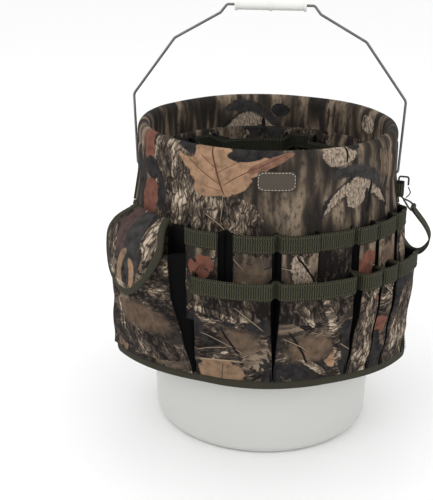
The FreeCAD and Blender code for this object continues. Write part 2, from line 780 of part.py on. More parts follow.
def build_hanger_loop():
    """A short webbing loop on the cover, for the snap hook."""
    body = new_body("hanger_loop")
    wall = f"{cover_outer()} - 2"
    thick = "loop_thick"
    sketch = new_sketch(body, "XY_Plane", offset="loop_foot")
    half, reach = "loop_half", "loop_reach"
    outer = [(wall, f"-({half} + {thick})"), (reach, f"-({half} + {thick})", "loop_half * 0.8"),
             (reach, f"{half} + {thick}", "loop_half * 0.8"), (wall, f"{half} + {thick}")]
    inner = [(wall, half), (f"{reach} - {thick}", half, "loop_half * 0.6"),
             (f"{reach} - {thick}", f"-({half})", "loop_half * 0.6"), (wall, f"-({half})")]
    outline(sketch, outer + inner)
    padded(body, sketch, "loop_width")
    revolved(body, "Groove", cover_core(), "30")
    turned(body, value("strap_azimuth"))
    return body


def build_snap_hook():
    """A hook of bent wire: an eye as wide as the strap, a neck, and a bill that passes behind the loop."""
    body = new_body("snap_hook")
    rise = math.degrees(math.atan2(HOOK_PATH[0][1] - STRAP_END[1], HOOK_PATH[0][0] - STRAP_END[0]))
    reach = math.hypot(HOOK_PATH[0][0] - STRAP_END[0], HOOK_PATH[0][1] - STRAP_END[1])
    bill = HOOK_PATH
    path = [(x, z, 2.4) if 0 < i < len(bill) - 1 else (x, z) for i, (x, z) in enumerate(bill)]
    start = FreeCAD.Vector(bill[0][0], 0, bill[0][1])
    toward = FreeCAD.Vector(bill[1][0] - bill[0][0], 0, bill[1][1] - bill[0][1])
    spine = outline(new_sketch(body, "XZ_Plane"), path, closed=False)
    profile = body.newObject("Sketcher::SketchObject", "snap_hook_section")
    profile.Placement = FreeCAD.Placement(start, FreeCAD.Rotation(FreeCAD.Vector(0, 0, 1), toward))
    circle(profile, "0", "0", "hook_wire")
    sweep = body.newObject("PartDesign::AdditivePipe", "snap_hook_pipe")
    sweep.Profile = profile
    sweep.Spine = spine
    doc.recompute()
    eye_plane = FreeCAD.Placement(
        FreeCAD.Vector(STRAP_END[0], 0, STRAP_END[1]), FreeCAD.Rotation(FreeCAD.Vector(0, 1, 0), -rise)
    )
    eye = body.newObject("Sketcher::SketchObject", "snap_hook_eye")
    eye.Placement = eye_plane
    half = "eye_half + hook_wire"
    clear = "hook_wire + eye_play + strap_thick + 2"
    outline(eye, [("0", "0"), ("0", half, "2"), (clear, half, "2"), (reach, NECK_HALF, "1.5"),
                  (reach, f"-{NECK_HALF}", "1.5"), (clear, f"-({half})", "2"), ("0", f"-({half})", "2"),
                  ("0", "-0.01")], closed=False)
    ring = body.newObject("Sketcher::SketchObject", "snap_hook_eye_section")
    ring.Placement = eye_plane.multiply(
        FreeCAD.Placement(FreeCAD.Vector(), FreeCAD.Rotation(FreeCAD.Vector(1, 0, 0), 90))
    )
    circle(ring, "0", "0", "hook_wire")
    loop = body.newObject("PartDesign::AdditivePipe", "snap_hook_eye_pipe")
    loop.Profile = ring
    loop.Spine = eye
    doc.recompute()
    turned(body, value("strap_azimuth"))
    return body


def build_gate():
    """The sprung wire gate that closes the hook."""
    body = new_body("hook_gate")
    path = [(*GATE_PATH[0],), (*GATE_PATH[1], 4.0), (*GATE_PATH[2],)]
    start = FreeCAD.Vector(GATE_PATH[0][0], 0, GATE_PATH[0][1])
    toward = FreeCAD.Vector(GATE_PATH[1][0] - GATE_PATH[0][0], 0, GATE_PATH[1][1] - GATE_PATH[0][1])
    spine = outline(new_sketch(body, "XZ_Plane"), path, closed=False)
    profile = body.newObject("Sketcher::SketchObject", "hook_gate_section")
    profile.Placement = FreeCAD.Placement(start, FreeCAD.Rotation(FreeCAD.Vector(0, 0, 1), toward))
    circle(profile, "0", "0", "gate_wire")
    sweep = body.newObject("PartDesign::AdditivePipe", "hook_gate_pipe")
    sweep.Profile = profile
    sweep.Spine = spine
    doc.recompute()
    turned(body, value("strap_azimuth"))
    return body


# ---------------------------------------------------------------- assembly


def build_all():
    """Builds every sub-part in its place and returns the bodies."""
    turn = value("sewn_turn")
    front, back = turn, 180.0 + turn
    bodies = [build_pail(), build_bail(), build_grip(), build_rim_cover(), build_slit_tape(), build_label()]
    for side, facing in (("front", front), ("back", back)):
        bodies += [build_panel(f"{side}_panel", facing), build_panel_tape(f"{side}_panel_tape", facing)]

    def placed(row):
        return [(name, azimuth + turn, angle) for name, azimuth, angle in row]

    rows = {
        "front": (placed(FRONT_UPPER), placed(FRONT_LOWER)),
        "back": (placed(BACK_UPPER), placed(BACK_LOWER)),
    }
    for side, (upper, lower) in rows.items():
        for name, azimuth, angle in upper:
            bodies.append(build_pocket(name, azimuth, str(angle), upper_section(), (outer_back(), 1)))
        for name, azimuth, angle in lower:
            bodies.append(lower_pocket(name, azimuth, str(angle)))
        upper_front = f"{outer_back()} + upper_depth"
        lower_front = f"{outer_back()} + lower_depth"
        standoff = f"{outer_back()} + upper_depth + web_thick + sewn_gap"
        for height, row, front_face, link_back in (
            ("upper", upper, upper_front, outer_back()),
            ("lower", lower, lower_front, standoff),
        ):
            name = f"{side}_{height}_webbing"
            bodies.append(build_webbing(name, row, front_face, f"{height}_top", link_back, 1, "gaps"))
    flap_place = value("flap_azimuth + sewn_turn")
    bodies.append(
        build_pocket("flap_pocket", flap_place, "flap_pocket_angle", flap_pocket_section(), (outer_back(), 1))
    )
    bodies += [build_flap(), build_flap_tape()]
    face = f"{outer_back()} + flap_pocket_belly"
    bodies.append(build_patch("loop_patch", f"{face} + patch_gap", "patch_thick"))
    bodies.append(build_patch("hook_patch", f"{face} + flap_gap - patch_thick", "patch_thick"))
    bodies.append(build_liner())
    inner_back = "(liner_radius - liner_thick - sewn_gap)"
    inner = placed(INNER)
    for name, azimuth, angle in inner:
        bodies.append(build_pocket(name, azimuth, "inner_angle", inner_section(), (inner_back, -1)))
    inner_front = f"{inner_back} - inner_depth"
    bodies.append(
        build_webbing("inner_webbing", inner, inner_front, "inner_top", inner_back, -1, "inner_angle")
    )
    bodies += [build_strap(), build_hanger_loop(), build_snap_hook(), build_gate()]
    return bodies


def check(bodies):
    """Stops if an object failed to compute or a sub-part has no sound solid."""
    doc.recompute()
    for item in doc.Objects:
        if "Invalid" in item.State or "Error" in item.State:
            raise RuntimeError(f"{item.Label} failed: {item.State}")
    for body in bodies:
        shape = body.Shape
        if shape.isNull() or not shape.isValid() or not shape.Solids:
            raise RuntimeError(f"{body.Label} has no sound solid")


def export(bodies):
    os.makedirs("parts", exist_ok=True)
    for body in bodies:
        body.Shape.exportStep(f"parts/{body.Label}.step")
        print(f"{body.Label}: {len(body.Shape.Solids)} solid(s), {body.Shape.Volume:.0f} mm3")


fill_sheet()
made = build_all()
check(made)
export(made)
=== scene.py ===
"""The look of the tool bucket organizer: sewn camouflage cloth, webbing and tape over a white plastic pail.

Everything is in metres. Azimuths are in degrees round Z, from the front (0) towards the right ear (+90).
"""

import math
import random
from collections import namedtuple

import bpy
from mathutils import Matrix, Vector, noise


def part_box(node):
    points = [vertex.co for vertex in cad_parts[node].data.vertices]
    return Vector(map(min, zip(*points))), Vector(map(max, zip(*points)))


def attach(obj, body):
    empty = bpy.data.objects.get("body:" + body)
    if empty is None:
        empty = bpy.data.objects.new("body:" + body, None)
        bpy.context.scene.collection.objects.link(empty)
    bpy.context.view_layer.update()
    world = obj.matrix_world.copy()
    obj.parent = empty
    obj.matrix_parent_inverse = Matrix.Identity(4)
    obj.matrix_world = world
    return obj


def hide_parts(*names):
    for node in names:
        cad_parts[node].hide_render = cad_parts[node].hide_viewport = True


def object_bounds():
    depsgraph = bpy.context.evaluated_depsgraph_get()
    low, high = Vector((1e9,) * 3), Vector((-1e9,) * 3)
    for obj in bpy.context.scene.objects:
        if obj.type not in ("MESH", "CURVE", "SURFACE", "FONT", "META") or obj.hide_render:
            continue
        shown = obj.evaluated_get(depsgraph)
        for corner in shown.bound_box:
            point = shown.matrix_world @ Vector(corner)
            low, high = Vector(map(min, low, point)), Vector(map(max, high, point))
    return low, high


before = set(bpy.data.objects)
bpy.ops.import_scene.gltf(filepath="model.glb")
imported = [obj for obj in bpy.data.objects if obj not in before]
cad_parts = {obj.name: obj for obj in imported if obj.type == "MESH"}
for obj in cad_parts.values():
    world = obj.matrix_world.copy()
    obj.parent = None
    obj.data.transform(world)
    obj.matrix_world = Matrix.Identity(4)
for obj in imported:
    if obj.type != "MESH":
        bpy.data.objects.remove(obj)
cad_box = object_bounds()

# ---------------------------------------------------------------- sizes

CLOTH = 0.0018
PADDED = 0.003
PANEL_CLOTH = 0.0024
WEBBING = 0.0014
TAPE_PROUD = 0.0006
TAPE_LIP = 0.0009
WEB_WIDTH = 0.020
HEM_TAPE = 0.0135
SIDE_TAPE = 0.008
WEAVE_PITCH = 0.0011
STITCH_LENGTH = 0.0024
STITCH_PITCH = 0.0036
STITCH_RADIUS = 0.00033

Reach = namedtuple("Reach", "start end inner outer foot top")


def azimuth_of(point):
    return math.degrees(math.atan2(point[0], -point[1]))


def reach(node):
    """The azimuths, radii and heights that a CAD node covers."""
    spots = [v.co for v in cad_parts[node].data.vertices]
    middle = azimuth_of(sum((Vector((p.x, p.y, 0)).normalized() for p in spots), Vector()))
    turns = [middle + (azimuth_of(p) - middle + 180) % 360 - 180 for p in spots]
    radii = [math.hypot(p.x, p.y) for p in spots]
    heights = [p.z for p in spots]
    return Reach(min(turns), max(turns), min(radii), max(radii), min(heights), max(heights))


def at(azimuth, radius, height):
    """The point at an azimuth, radius and height."""
    turn = math.radians(azimuth)
    return Vector((radius * math.sin(turn), -radius * math.cos(turn), height))


def outward(azimuth):
    return at(azimuth, 1.0, 0.0)


def blend_between(low, high, share):
    return low + (high - low) * share


def eased_step(share):
    share = min(1.0, max(0.0, share))
    return share * share * (3 - 2 * share)


def ripple(azimuth, height, size, seed=0.0):
    """Smooth noise on the cloth, about -1 to 1, with bumps of one size."""
    point = at(azimuth, 0.15, height) / size
    return noise.noise(point + Vector((seed, seed * 0.37, seed * 1.7)))


# ---------------------------------------------------------------- paths and meshes


def rounded_path(points, rounds=3):
    """Cuts the corners of a chain of points until it is a smooth curve. The ends stay."""
    for _ in range(rounds):
        cut = [points[0]]
        for a, b in zip(points, points[1:]):
            cut += [a.lerp(b, 0.25), a.lerp(b, 0.75)]
        points = cut + [points[-1]]
    return points


def evenly(points, count):
    """Points at even steps along a chain."""
    lengths = [0.0]
    for a, b in zip(points, points[1:]):
        lengths.append(lengths[-1] + (b - a).length)
    result, i = [], 0
    for k in range(count):
        wanted = lengths[-1] * k / (count - 1)
        while i < len(points) - 2 and lengths[i + 1] < wanted:
            i += 1
        step = max(lengths[i + 1] - lengths[i], 1e-12)
        result.append(points[i].lerp(points[i + 1], min(1.0, (wanted - lengths[i]) / step)))
    return result


def running_length(points):
    total = [0.0]
    for a, b in zip(points, points[1:]):
        total.append(total[-1] + (b - a).length)
    return total


def new_piece(name, verts, faces, corner_uvs, material, smooth=True):
    """A mesh object with its flat cloth coordinates, in metres, in the UV layer named flat."""
    mesh = bpy.data.meshes.new(name)
    mesh.from_pydata(verts, [], faces)
    layer = mesh.uv_layers.new(name="flat")
    for i, uv in enumerate(corner_uvs):
        layer.data[i].uv = uv
    mesh.polygons.foreach_set("use_smooth", [smooth] * len(mesh.polygons))
    mesh.materials.append(material)
    piece = bpy.data.objects.new(name, mesh)
    bpy.context.scene.collection.objects.link(piece)
    return piece


def grid(name, rows, material, closed=False, skip=None, flat=None, origin=(0.0, 0.0)):
    """A cloth surface through rows of points. flat gives each column's and row's flat place."""
    high, wide = len(rows), len(rows[0])
    if flat is None:
        across = running_length(rows[high // 2] + ([rows[high // 2][0]] if closed else []))
        along = running_length([row[wide // 2] for row in rows])
        flat = (across, along)
    verts = [point for row in rows for point in row]
    faces, uvs = [], []
    for i in range(high - 1):
        for j in range(wide if closed else wide - 1):
            if skip and skip(i, j):
                continue
            k = (j + 1) % wide
            faces.append((i * wide + j, i * wide + k, (i + 1) * wide + k, (i + 1) * wide + j))
            for row, column in ((i, j), (i, j + 1), (i + 1, j + 1), (i + 1, j)):
                uvs.append((origin[0] + flat[0][column], origin[1] + flat[1][row]))
    return new_piece(name, verts, faces, uvs, material)


def ride_on(piece, body, slot, *nodes):
    """Rides a piece on a body, and hides the nodes it stands for. slot, the name of its finish, is not used.
    """
    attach(piece, body)
    if nodes:
        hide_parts(*nodes)


def finish_cloth(piece, rows, body, slot, held, *nodes, thickness=CLOTH, offset=-1.0, closed=False):
    """Thickens a cloth grid, inwards unless offset says otherwise, and rides it."""
    solid = piece.modifiers.new("thickness", "SOLIDIFY")
    solid.thickness = thickness
    solid.offset = offset
    solid.use_even_offset = False
    ride_on(piece, body, slot, *nodes)
    ring = [row + [row[0]] if closed else row for row in rows]
    width = sum(running_length(row)[-1] for row in ring) / len(ring)
    columns = range(0, len(rows[0]), 4)
    length = sum(running_length([row[j] for row in rows])[-1] for j in columns) / len(columns)


def tubes(name, parts, material):
    """One piece of capped solid skins, each through its own list of closed sections."""
    verts, faces, uvs = [], [], []
    for sections in parts:
        around, base, count = len(sections[0]), len(verts), len(sections)
        verts += [point for section in sections for point in section]
        along = running_length([section[0] for section in sections])
        around_at = running_length(sections[0] + [sections[0][0]])
        for i in range(count - 1):
            for j in range(around):
                a, k = base + i * around, (j + 1) % around
                faces.append((a + j, a + k, a + around + k, a + around + j))
                for row, column in ((i, j), (i, j + 1), (i + 1, j + 1), (i + 1, j)):
                    uvs.append((along[row], around_at[column]))
        faces.append(tuple(base + j for j in reversed(range(around))))
        faces.append(tuple(base + (count - 1) * around + j for j in range(around)))
        uvs += [(0.0, 0.0)] * (2 * around)
    return new_piece(name, verts, faces, uvs, material)


def binding_path(sides, heights, corner, unit, side_way, steps):
    """The path of a tape round three sides, as (place, height, way), where way points into the cloth.

    It runs from the first height along one side to the second height, across, and back down the other side.
    unit is what a metre is in places across, and steps are those of a side, a corner and the crossing.
    """
    (left, right), (mouth, far) = sides, heights
    way = 1 if far > mouth else -1
    turn_at = far - way * corner
    heights_down = [blend_between(mouth, turn_at, k / steps[0]) for k in range(steps[0] + 1)]
    first = [(left, height, (side_way, 0.0)) for height in heights_down]
    for k in range(1, steps[1]):
        turn = math.pi / 2 * k / steps[1]
        place = left + corner * unit * (1 - math.cos(turn)), far - way * corner * (1 - math.sin(turn))
        first.append((*place, (side_way * math.cos(turn), math.sin(turn))))
    start, end = left + corner * unit, right - corner * unit
    crossing = [(blend_between(start, end, k / steps[2]), far, (0.0, 1.0)) for k in range(steps[2] + 1)]
    last = [(left + right - place, height, (-side, up)) for place, height, (side, up) in reversed(first)]
    return first + crossing + last


def binding_sections(edge, normals, inwards, width, half_thick):
    """Sections of a tape folded over an edge, from the edge, its normals and its ways into the cloth."""
    outside = [(width, 0.72), (width * 0.93, 1.0), (width * 0.5, 1.06), (0.0, 1.0), (-TAPE_LIP * 0.75, 0.6)]
    shape = outside + [(-TAPE_LIP, 0.0)] + [(i, -n) for i, n in reversed(outside)]
    return [
        [point + inward * i + normal * (n * half_thick) for i, n in shape]
        for point, normal, inward in zip(edge, normals, inwards)
    ]


def stitch_mesh(name, seams, material):
    """Runs of thread: each seam is a list of (point, normal), and gets a stitch every few millimetres."""
    verts, faces, uvs = [], [], []
    for seam in seams:
        points = [p for p, _ in seam]
        lengths = running_length(points)
        count = int(lengths[-1] / STITCH_PITCH)
        i = 0
        for k in range(count):
            middle = (k + 0.5) * STITCH_PITCH
            while i < len(points) - 2 and lengths[i + 1] < middle:
                i += 1
            share = (middle - lengths[i]) / max(lengths[i + 1] - lengths[i], 1e-9)
            centre = points[i].lerp(points[i + 1], share)
            normal = seam[i][1].lerp(seam[i + 1][1], share).normalized()
            run = (points[i + 1] - points[i]).normalized()
            side = run.cross(normal).normalized()
            add_stitch(verts, faces, uvs, centre, run, side, normal)
    return new_piece(name, verts, faces, uvs, material)


def add_stitch(verts, faces, uvs, centre, run, side, normal):
    """One stitch: a short thread that dips into the cloth at both ends."""
    base, half, around = len(verts), STITCH_LENGTH / 2, 5
    for along, lift, swell in ((-1.0, -0.2, 0.6), (-0.5, 0.7, 1.0), (0.5, 0.7, 1.0), (1.0, -0.2, 0.6)):
        ring = centre + run * (along * half) + normal * (lift * STITCH_RADIUS)
        for k in range(around):
            turn = 2 * math.pi * k / around
            verts.append(ring + (side * math.cos(turn) + normal * math.sin(turn)) * STITCH_RADIUS * swell)
    for low in range(base, base + 3 * around, around):
        for k in range(around):
            n = (k + 1) % around
            faces.append((low + k, low + n, low + around + n, low + around + k))
            uvs += [(0.0, 0.0)] * 4
    faces.append(tuple(base + k for k in reversed(range(around))))
    faces.append(tuple(base + 3 * around + k for k in range(around)))
    uvs += [(0.0, 0.0)] * (2 * around)


# ---------------------------------------------------------------- shader graphs

DARK = (0.010, 0.008, 0.007)
BARK = (0.050, 0.038, 0.031)
CREAM = (0.52, 0.42, 0.32)
TAN_LEAF = (0.315, 0.192, 0.118)
RED_LEAF = (0.165, 0.068, 0.047)
TRUNK_TAN = (0.25, 0.19, 0.135)
TRUNK_DARK = (0.020, 0.017, 0.015)
OLIVE = (0.034, 0.033, 0.020)
# Near-black used as painted shade: the pockets' pleated sides and the shadow beside the flap pocket.
SHADE_BLACK = (0.004, 0.004, 0.004)


class Graph:
    """Adds shader nodes to a tree. A socket's value may be a number, a colour or another node's output."""

    def __init__(self, tree):
        self.tree = tree

    def add(self, kind, values=None, **settings):
        node = self.tree.nodes.new(kind)
        for key, setting in settings.items():
            setattr(node, key, setting)
        for key, given in (values or {}).items():
            socket = node.inputs[key]
            if isinstance(given, bpy.types.NodeSocket):
                self.tree.links.new(given, socket)
            elif isinstance(given, tuple) and len(given) == 3 and socket.type == "RGBA":
                socket.default_value = (*given, 1.0)
            else:
                socket.default_value = given
        return node.outputs

    def maths(self, operation, a, b=0.0, c=0.0):
        return self.add("ShaderNodeMath", {0: a, 1: b, 2: c}, operation=operation)[0]

    def vector(self, operation, a, b=(0.0, 0.0, 0.0)):
        return self.add("ShaderNodeVectorMath", {0: a, 1: b}, operation=operation)[0]

    def mix(self, share, below, above):
        return self.add("ShaderNodeMix", {0: share, 6: below, 7: above}, data_type="RGBA")[2]

    def noise(self, place, scale, detail=2.0, roughness=0.5, distortion=0.0):
        values = {"Vector": place, "Scale": scale, "Detail": detail, "Roughness": roughness}
        return self.add("ShaderNodeTexNoise", {**values, "Distortion": distortion})

    def band(self, amount, low, high):
        """0 below low, 1 above high, smooth between."""
        values = {0: amount, 1: low, 2: high, 3: 0.0, 4: 1.0}
        return self.add("ShaderNodeMapRange", values, interpolation_type="SMOOTHSTEP")[0]

    def ramp(self, amount, *stops):
        """A colour ramp from (place, colour) stops."""
        node = self.tree.nodes.new("ShaderNodeValToRGB")
        self.tree.links.new(amount, node.inputs[0])
        elements = node.color_ramp.elements
        while len(elements) < len(stops):
            elements.new(0.5)
        for element, (place, colour) in zip(elements, stops):
            element.position = place
            element.color = (*colour, 1.0)
        return node.outputs[0]

    def scaled(self, place, u, v):
        return self.vector("MULTIPLY", place, (u, v, 0.0))

    def local(self, place, u, v, turn, half_u, half_v):
        """Coordinates centred on (u, v), turned, and 1 at half_u and half_v."""
        values = {0: place, 1: (u, v, 0.0), 2: (0.0, 0.0, math.radians(turn)), 3: (half_u, half_v, 1.0)}
        return self.add("ShaderNodeMapping", values, vector_type="TEXTURE")[0]

    def bump(self, strength, distance, height):
        return self.add("ShaderNodeBump", {"Strength": strength, "Distance": distance, "Height": height})[0]

    def surface(self, colour, roughness, normal=None, **values):
        """The material's shader. An underscore in a value's name stands for a space."""
        named = {key.replace("_", " "): given for key, given in values.items()}
        named.update({"Base Color": colour, "Roughness": roughness})
        if normal:
            named["Normal"] = normal
        self.add("ShaderNodeOutputMaterial", {0: self.add("ShaderNodeBsdfPrincipled", named)[0]})


def new_group(make, output, **inputs):
    """A node group whose output is what make(graph, inputs' sockets) gives. output is its (name, kind)."""
    tree = bpy.data.node_groups.new(make.__name__, "ShaderNodeTree")
    for label, kind in inputs.items():
        tree.interface.new_socket(label, in_out="INPUT", socket_type=kind)
    tree.interface.new_socket(output[0], in_out="OUTPUT", socket_type=output[1])
    given = tree.nodes.new("NodeGroupInput").outputs
    tree.links.new(make(Graph(tree), given), tree.nodes.new("NodeGroupOutput").inputs[0])
    return tree


VECTOR, NUMBER, COLOUR = "NodeSocketVector", "NodeSocketFloat", "NodeSocketColor"


def bark(graph, given):
    """Close-up bark: short upright cracks, cream and grey flakes on near black."""
    warp = graph.noise(given["place"], 70.0, 2.0)[1]
    bent = graph.vector("ADD", given["place"], graph.scaled(warp, 0.010, 0.010))
    flake = graph.noise(graph.scaled(bent, 1.0, 0.30), 290.0, 3.5, 0.72)[0]
    broad = graph.noise(graph.scaled(bent, 1.0, 0.45), 52.0, 2.0)[0]
    level = graph.maths("ADD", flake, graph.maths("MULTIPLY", graph.maths("SUBTRACT", broad, 0.5), 0.8))
    lift = graph.maths("MULTIPLY", graph.maths("SUBTRACT", given["light"], 0.5), 0.16)
    colour = graph.ramp(
        graph.maths("ADD", level, lift),
        (0.37, DARK), (0.47, BARK), (0.55, (0.085, 0.065, 0.050)),
        (0.63, (0.19, 0.145, 0.105)), (0.75, CREAM),
    )
    cells = {"Vector": graph.scaled(bent, 1.0, 0.30), "Scale": 190.0}
    crack = graph.band(graph.add("ShaderNodeTexVoronoi", cells, feature="DISTANCE_TO_EDGE")[0], 0.12, 0.02)
    return graph.mix(graph.maths("MULTIPLY", crack, 0.8), colour, DARK)


def trunks(graph, given):
    """Trees out of focus: soft upright stripes of tan, brown and near black."""
    sway = graph.noise(given["place"], 22.0, 1.0)[1]
    bent = graph.vector("ADD", given["place"], graph.scaled(sway, 0.010, 0.0))
    stripe = graph.noise(graph.scaled(bent, 1.0, 0.16), 82.0, 1.6, 0.42)[0]
    broad = graph.noise(graph.scaled(bent, 1.0, 0.35), 24.0, 1.0)[0]
    level = graph.maths("ADD", stripe, graph.maths("MULTIPLY", graph.maths("SUBTRACT", broad, 0.5), 0.35))
    colour = graph.ramp(
        level,
        (0.38, TRUNK_DARK), (0.47, (0.042, 0.033, 0.026)), (0.54, (0.105, 0.079, 0.057)), (0.66, TRUNK_TAN),
    )
    grain = graph.noise(graph.scaled(given["place"], 1.0, 0.4), 260.0, 3.0, 0.6)[0]
    return graph.mix(graph.band(grain, 0.42, 0.75), colour, (0.035, 0.029, 0.024))


def spot(graph, given):
    """An oval with an uneven edge: 1 inside, 0 outside. soft is the edge's width as a share of the oval."""
    flat = graph.vector("MULTIPLY", given["local"], (1.0, 1.0, 0.0))
    distance = graph.add("ShaderNodeVectorMath", {0: flat}, operation="LENGTH")[1]
    uneven = graph.maths("ADD", distance, given["edge"])
    mask = graph.maths("DIVIDE", graph.maths("SUBTRACT", 1.0, uneven), given["soft"])
    return graph.add("ShaderNodeClamp", {0: mask})[0]


def stroke(graph, given):
    """A tapering stroke along the local x axis, bent by its bow: 1 on it, 0 off it."""
    axes = graph.add("ShaderNodeSeparateXYZ", {0: given["local"]})
    squared = graph.maths("MULTIPLY", axes[0], axes[0])
    curve = graph.maths("MULTIPLY", graph.maths("SUBTRACT", 1.0, squared), given["bow"])
    off = graph.maths("ABSOLUTE", graph.maths("ADD", graph.maths("SUBTRACT", axes[1], curve), given["edge"]))
    fourth = graph.maths("MULTIPLY", squared, squared)
    taper = graph.maths("SUBTRACT", 1.0, graph.maths("MULTIPLY", fourth, fourth))
    mask = graph.maths("MULTIPLY", graph.maths("SUBTRACT", taper, off), 4.0)
    return graph.add("ShaderNodeClamp", {0: mask})[0]


def weave(graph, given):
    """Height of a plain weave, from flat coordinates in metres."""
    axes = graph.add("ShaderNodeSeparateXYZ", {0: given["place"]})
    waves = [
        graph.maths("SINE", graph.maths("DIVIDE", graph.maths("MULTIPLY", axis, 2 * math.pi), given["pitch"]))
        for axis in (axes[0], axes[1])
    ]
    return graph.maths("MULTIPLY", waves[0], waves[1])


GROUPS = {
    "bark": new_group(bark, ("colour", COLOUR), place=VECTOR, light=NUMBER),
    "trunks": new_group(trunks, ("colour", COLOUR), place=VECTOR),
    "spot": new_group(spot, ("mask", NUMBER), local=VECTOR, edge=NUMBER, soft=NUMBER),
    "stroke": new_group(stroke, ("mask", NUMBER), local=VECTOR, bow=NUMBER, edge=NUMBER),
    "weave": new_group(weave, ("height", NUMBER), place=VECTOR, pitch=NUMBER),
}


class Print:
    """A camouflage print, laid down layer over layer on the cloth's flat coordinates."""

    def __init__(self, name, u=0.0, v=0.0, turn=0.0, light=0.5):
        self.material = bpy.data.materials.new(name)
        self.material.use_nodes = True
        tree = self.material.node_tree
        tree.nodes.clear()
        self.graph = Graph(tree)
        self.flat = self.graph.add("ShaderNodeUVMap", uv_map="flat")[0]
        moved = {0: self.flat, 1: (u, v, 0.0), 2: (0.0, 0.0, math.radians(turn))}
        self.place = self.graph.add("ShaderNodeMapping", moved)[0]
        wobble = self.graph.noise(self.place, 130.0, 3.0, 0.65)[0]
        self.edge = self.graph.maths("SUBTRACT", wobble, 0.5)
        self.light = light
        self.colour = None
        self.made = {}

    def group(self, name, **values):
        node = self.graph.tree.nodes.new("ShaderNodeGroup")
        node.node_tree = GROUPS[name]
        for key, given in values.items():
            if isinstance(given, bpy.types.NodeSocket):
                self.graph.tree.links.new(given, node.inputs[key])
            else:
                node.inputs[key].default_value = given
        return node.outputs[0]

    def once(self, key, make):
        """A node's output made the first time and shared after that, because a shader holds only so many."""
        if key not in self.made:
            self.made[key] = make()
        return self.made[key]

    def bark(self, light=0.5, turn=0.0):
        def make():
            turned = {0: self.place, 2: (0.0, 0.0, math.radians(turn))}
            place = self.graph.add("ShaderNodeMapping", turned)[0] if turn else self.place
            return self.group("bark", place=place, light=light)

        return self.once(("bark", light, turn), make)

    def trunks(self):
        return self.once("trunks", lambda: self.group("trunks", place=self.place))

    def blotches(self):
        return self.once("blotches", lambda: self.graph.noise(self.place, 95.0, 4.0, 0.6)[0])

    def leaf_skin(self, colour):
        """Leaf colour with fine blotches and streaks."""
        dark = tuple(c * 0.55 for c in colour)
        light = tuple(min(1.0, c * 1.35) for c in colour)
        return self.graph.ramp(self.blotches(), (0.3, dark), (0.5, colour), (0.72, light))

    def base(self, bark_share=0.5):
        """Trunks, with bark and charcoal in broad uneven areas over them."""
        graph = self.graph
        broad = graph.noise(self.place, 17.0, 4.0, 0.62, 0.3)
        shares = graph.add("ShaderNodeSeparateColor", {0: broad[1]})
        level = 0.60 - 0.20 * bark_share
        bark_area = graph.band(shares[0], level, level + 0.012)
        colour = graph.mix(bark_area, self.trunks(), self.bark(self.light))
        charcoal_area = graph.band(shares[1], 0.545, 0.56)
        self.colour = graph.mix(charcoal_area, colour, self.smooth_dark())
        return self

    def smooth_charcoal(self):
        """The soft grey-brown of a bough out of focus."""
        return self.graph.ramp(self.blotches(), (0.35, (0.026, 0.023, 0.023)), (0.65, (0.056, 0.050, 0.050)))

    def cream_skin(self):
        """Pale wood with dark cracks and specks."""
        def make():
            crackle = self.graph.noise(self.graph.scaled(self.place, 1.0, 0.5), 420.0, 4.0, 0.75)[0]
            crack, dim = (0.15, 0.11, 0.08), tuple(c * 0.6 for c in CREAM)
            return self.graph.ramp(crackle, (0.34, DARK), (0.42, crack), (0.52, dim), (0.68, CREAM))

        return self.once("cream", make)

    def smooth_dark(self):
        return self.graph.ramp(self.blotches(), (0.35, (0.011, 0.010, 0.010)), (0.62, (0.033, 0.029, 0.029)))

    def scatter(self, seed, low, high, limbs=2, leaves=1, twigs=3):
        """Boughs, leaves and twigs at places drawn from a seed, between two corners of the flat cloth."""
        draw = random.Random(seed)
        wide, tall = high[0] - low[0], high[1] - low[1]

        def spot():
            return low[0] + wide * draw.random(), low[1] + tall * draw.random()

        for _ in range(limbs):
            (u, v), turn, long = spot(), draw.uniform(35.0, 145.0), draw.uniform(0.05, 0.10)
            du, dv = math.cos(math.radians(turn)) * long / 2, math.sin(math.radians(turn)) * long / 2
            width = draw.uniform(0.006, 0.012)
            bow = draw.uniform(-1.5, 1.5)
            self.over(self.line((u - du, v - dv), (u + du, v + dv), width * 1.5, bow / 1.5, 1.5), DARK)
            bark = self.bark(draw.uniform(0.9, 1.5), turn - 90.0)
            self.over(self.line((u - du, v - dv), (u + du, v + dv), width, bow, 1.5), bark)
        for _ in range(leaves):
            (u, v), turn = spot(), draw.uniform(0.0, 360.0)
            size = draw.uniform(0.009, 0.014)
            colour = draw.choice([TAN_LEAF, RED_LEAF, (0.17, 0.11, 0.072)])
            self.small_leaf(u, v, size, turn, colour)
        for _ in range(twigs):
            (u, v), turn, long = spot(), draw.uniform(-60.0, 60.0), draw.uniform(0.025, 0.05)
            du, dv = math.cos(math.radians(turn)) * long / 2, math.sin(math.radians(turn)) * long / 2
            width, bow = draw.uniform(0.0008, 0.0014), draw.uniform(-1.0, 1.0)
            self.twig((u - du, v - dv), (u + du, v + dv), width, bow)
        return self

    def small_leaf(self, u, v, size, turn, colour):
        """A leaf of three lobes with a dark vein."""
        lobes = []
        for off, long, wide in ((0.0, 1.5, 0.55), (48.0, 1.1, 0.45), (-48.0, 1.1, 0.45)):
            way = math.radians(turn + off)
            lobes.append(
                self.oval(
                    u + math.cos(way) * size * 0.6, v + math.sin(way) * size * 0.6,
                    size * long * 0.7, size * wide, turn + off, 0.55,
                )
            )
        self.over(self.joined(*lobes), self.leaf_skin(colour))
        tip = (u + math.cos(math.radians(turn)) * size * 1.6, v + math.sin(math.radians(turn)) * size * 1.6)
        self.over(self.line((u, v), tip, 0.0009, 0.5, 0.6), DARK)

    def oval(self, u, v, half_u, half_v, turn=0.0, ragged=0.35, soft=0.06):
        local = self.graph.local(self.flat, u, v, turn, half_u, half_v)
        edge = self.graph.maths("MULTIPLY", self.edge, ragged)
        return self.group("spot", local=local, edge=edge, soft=soft)

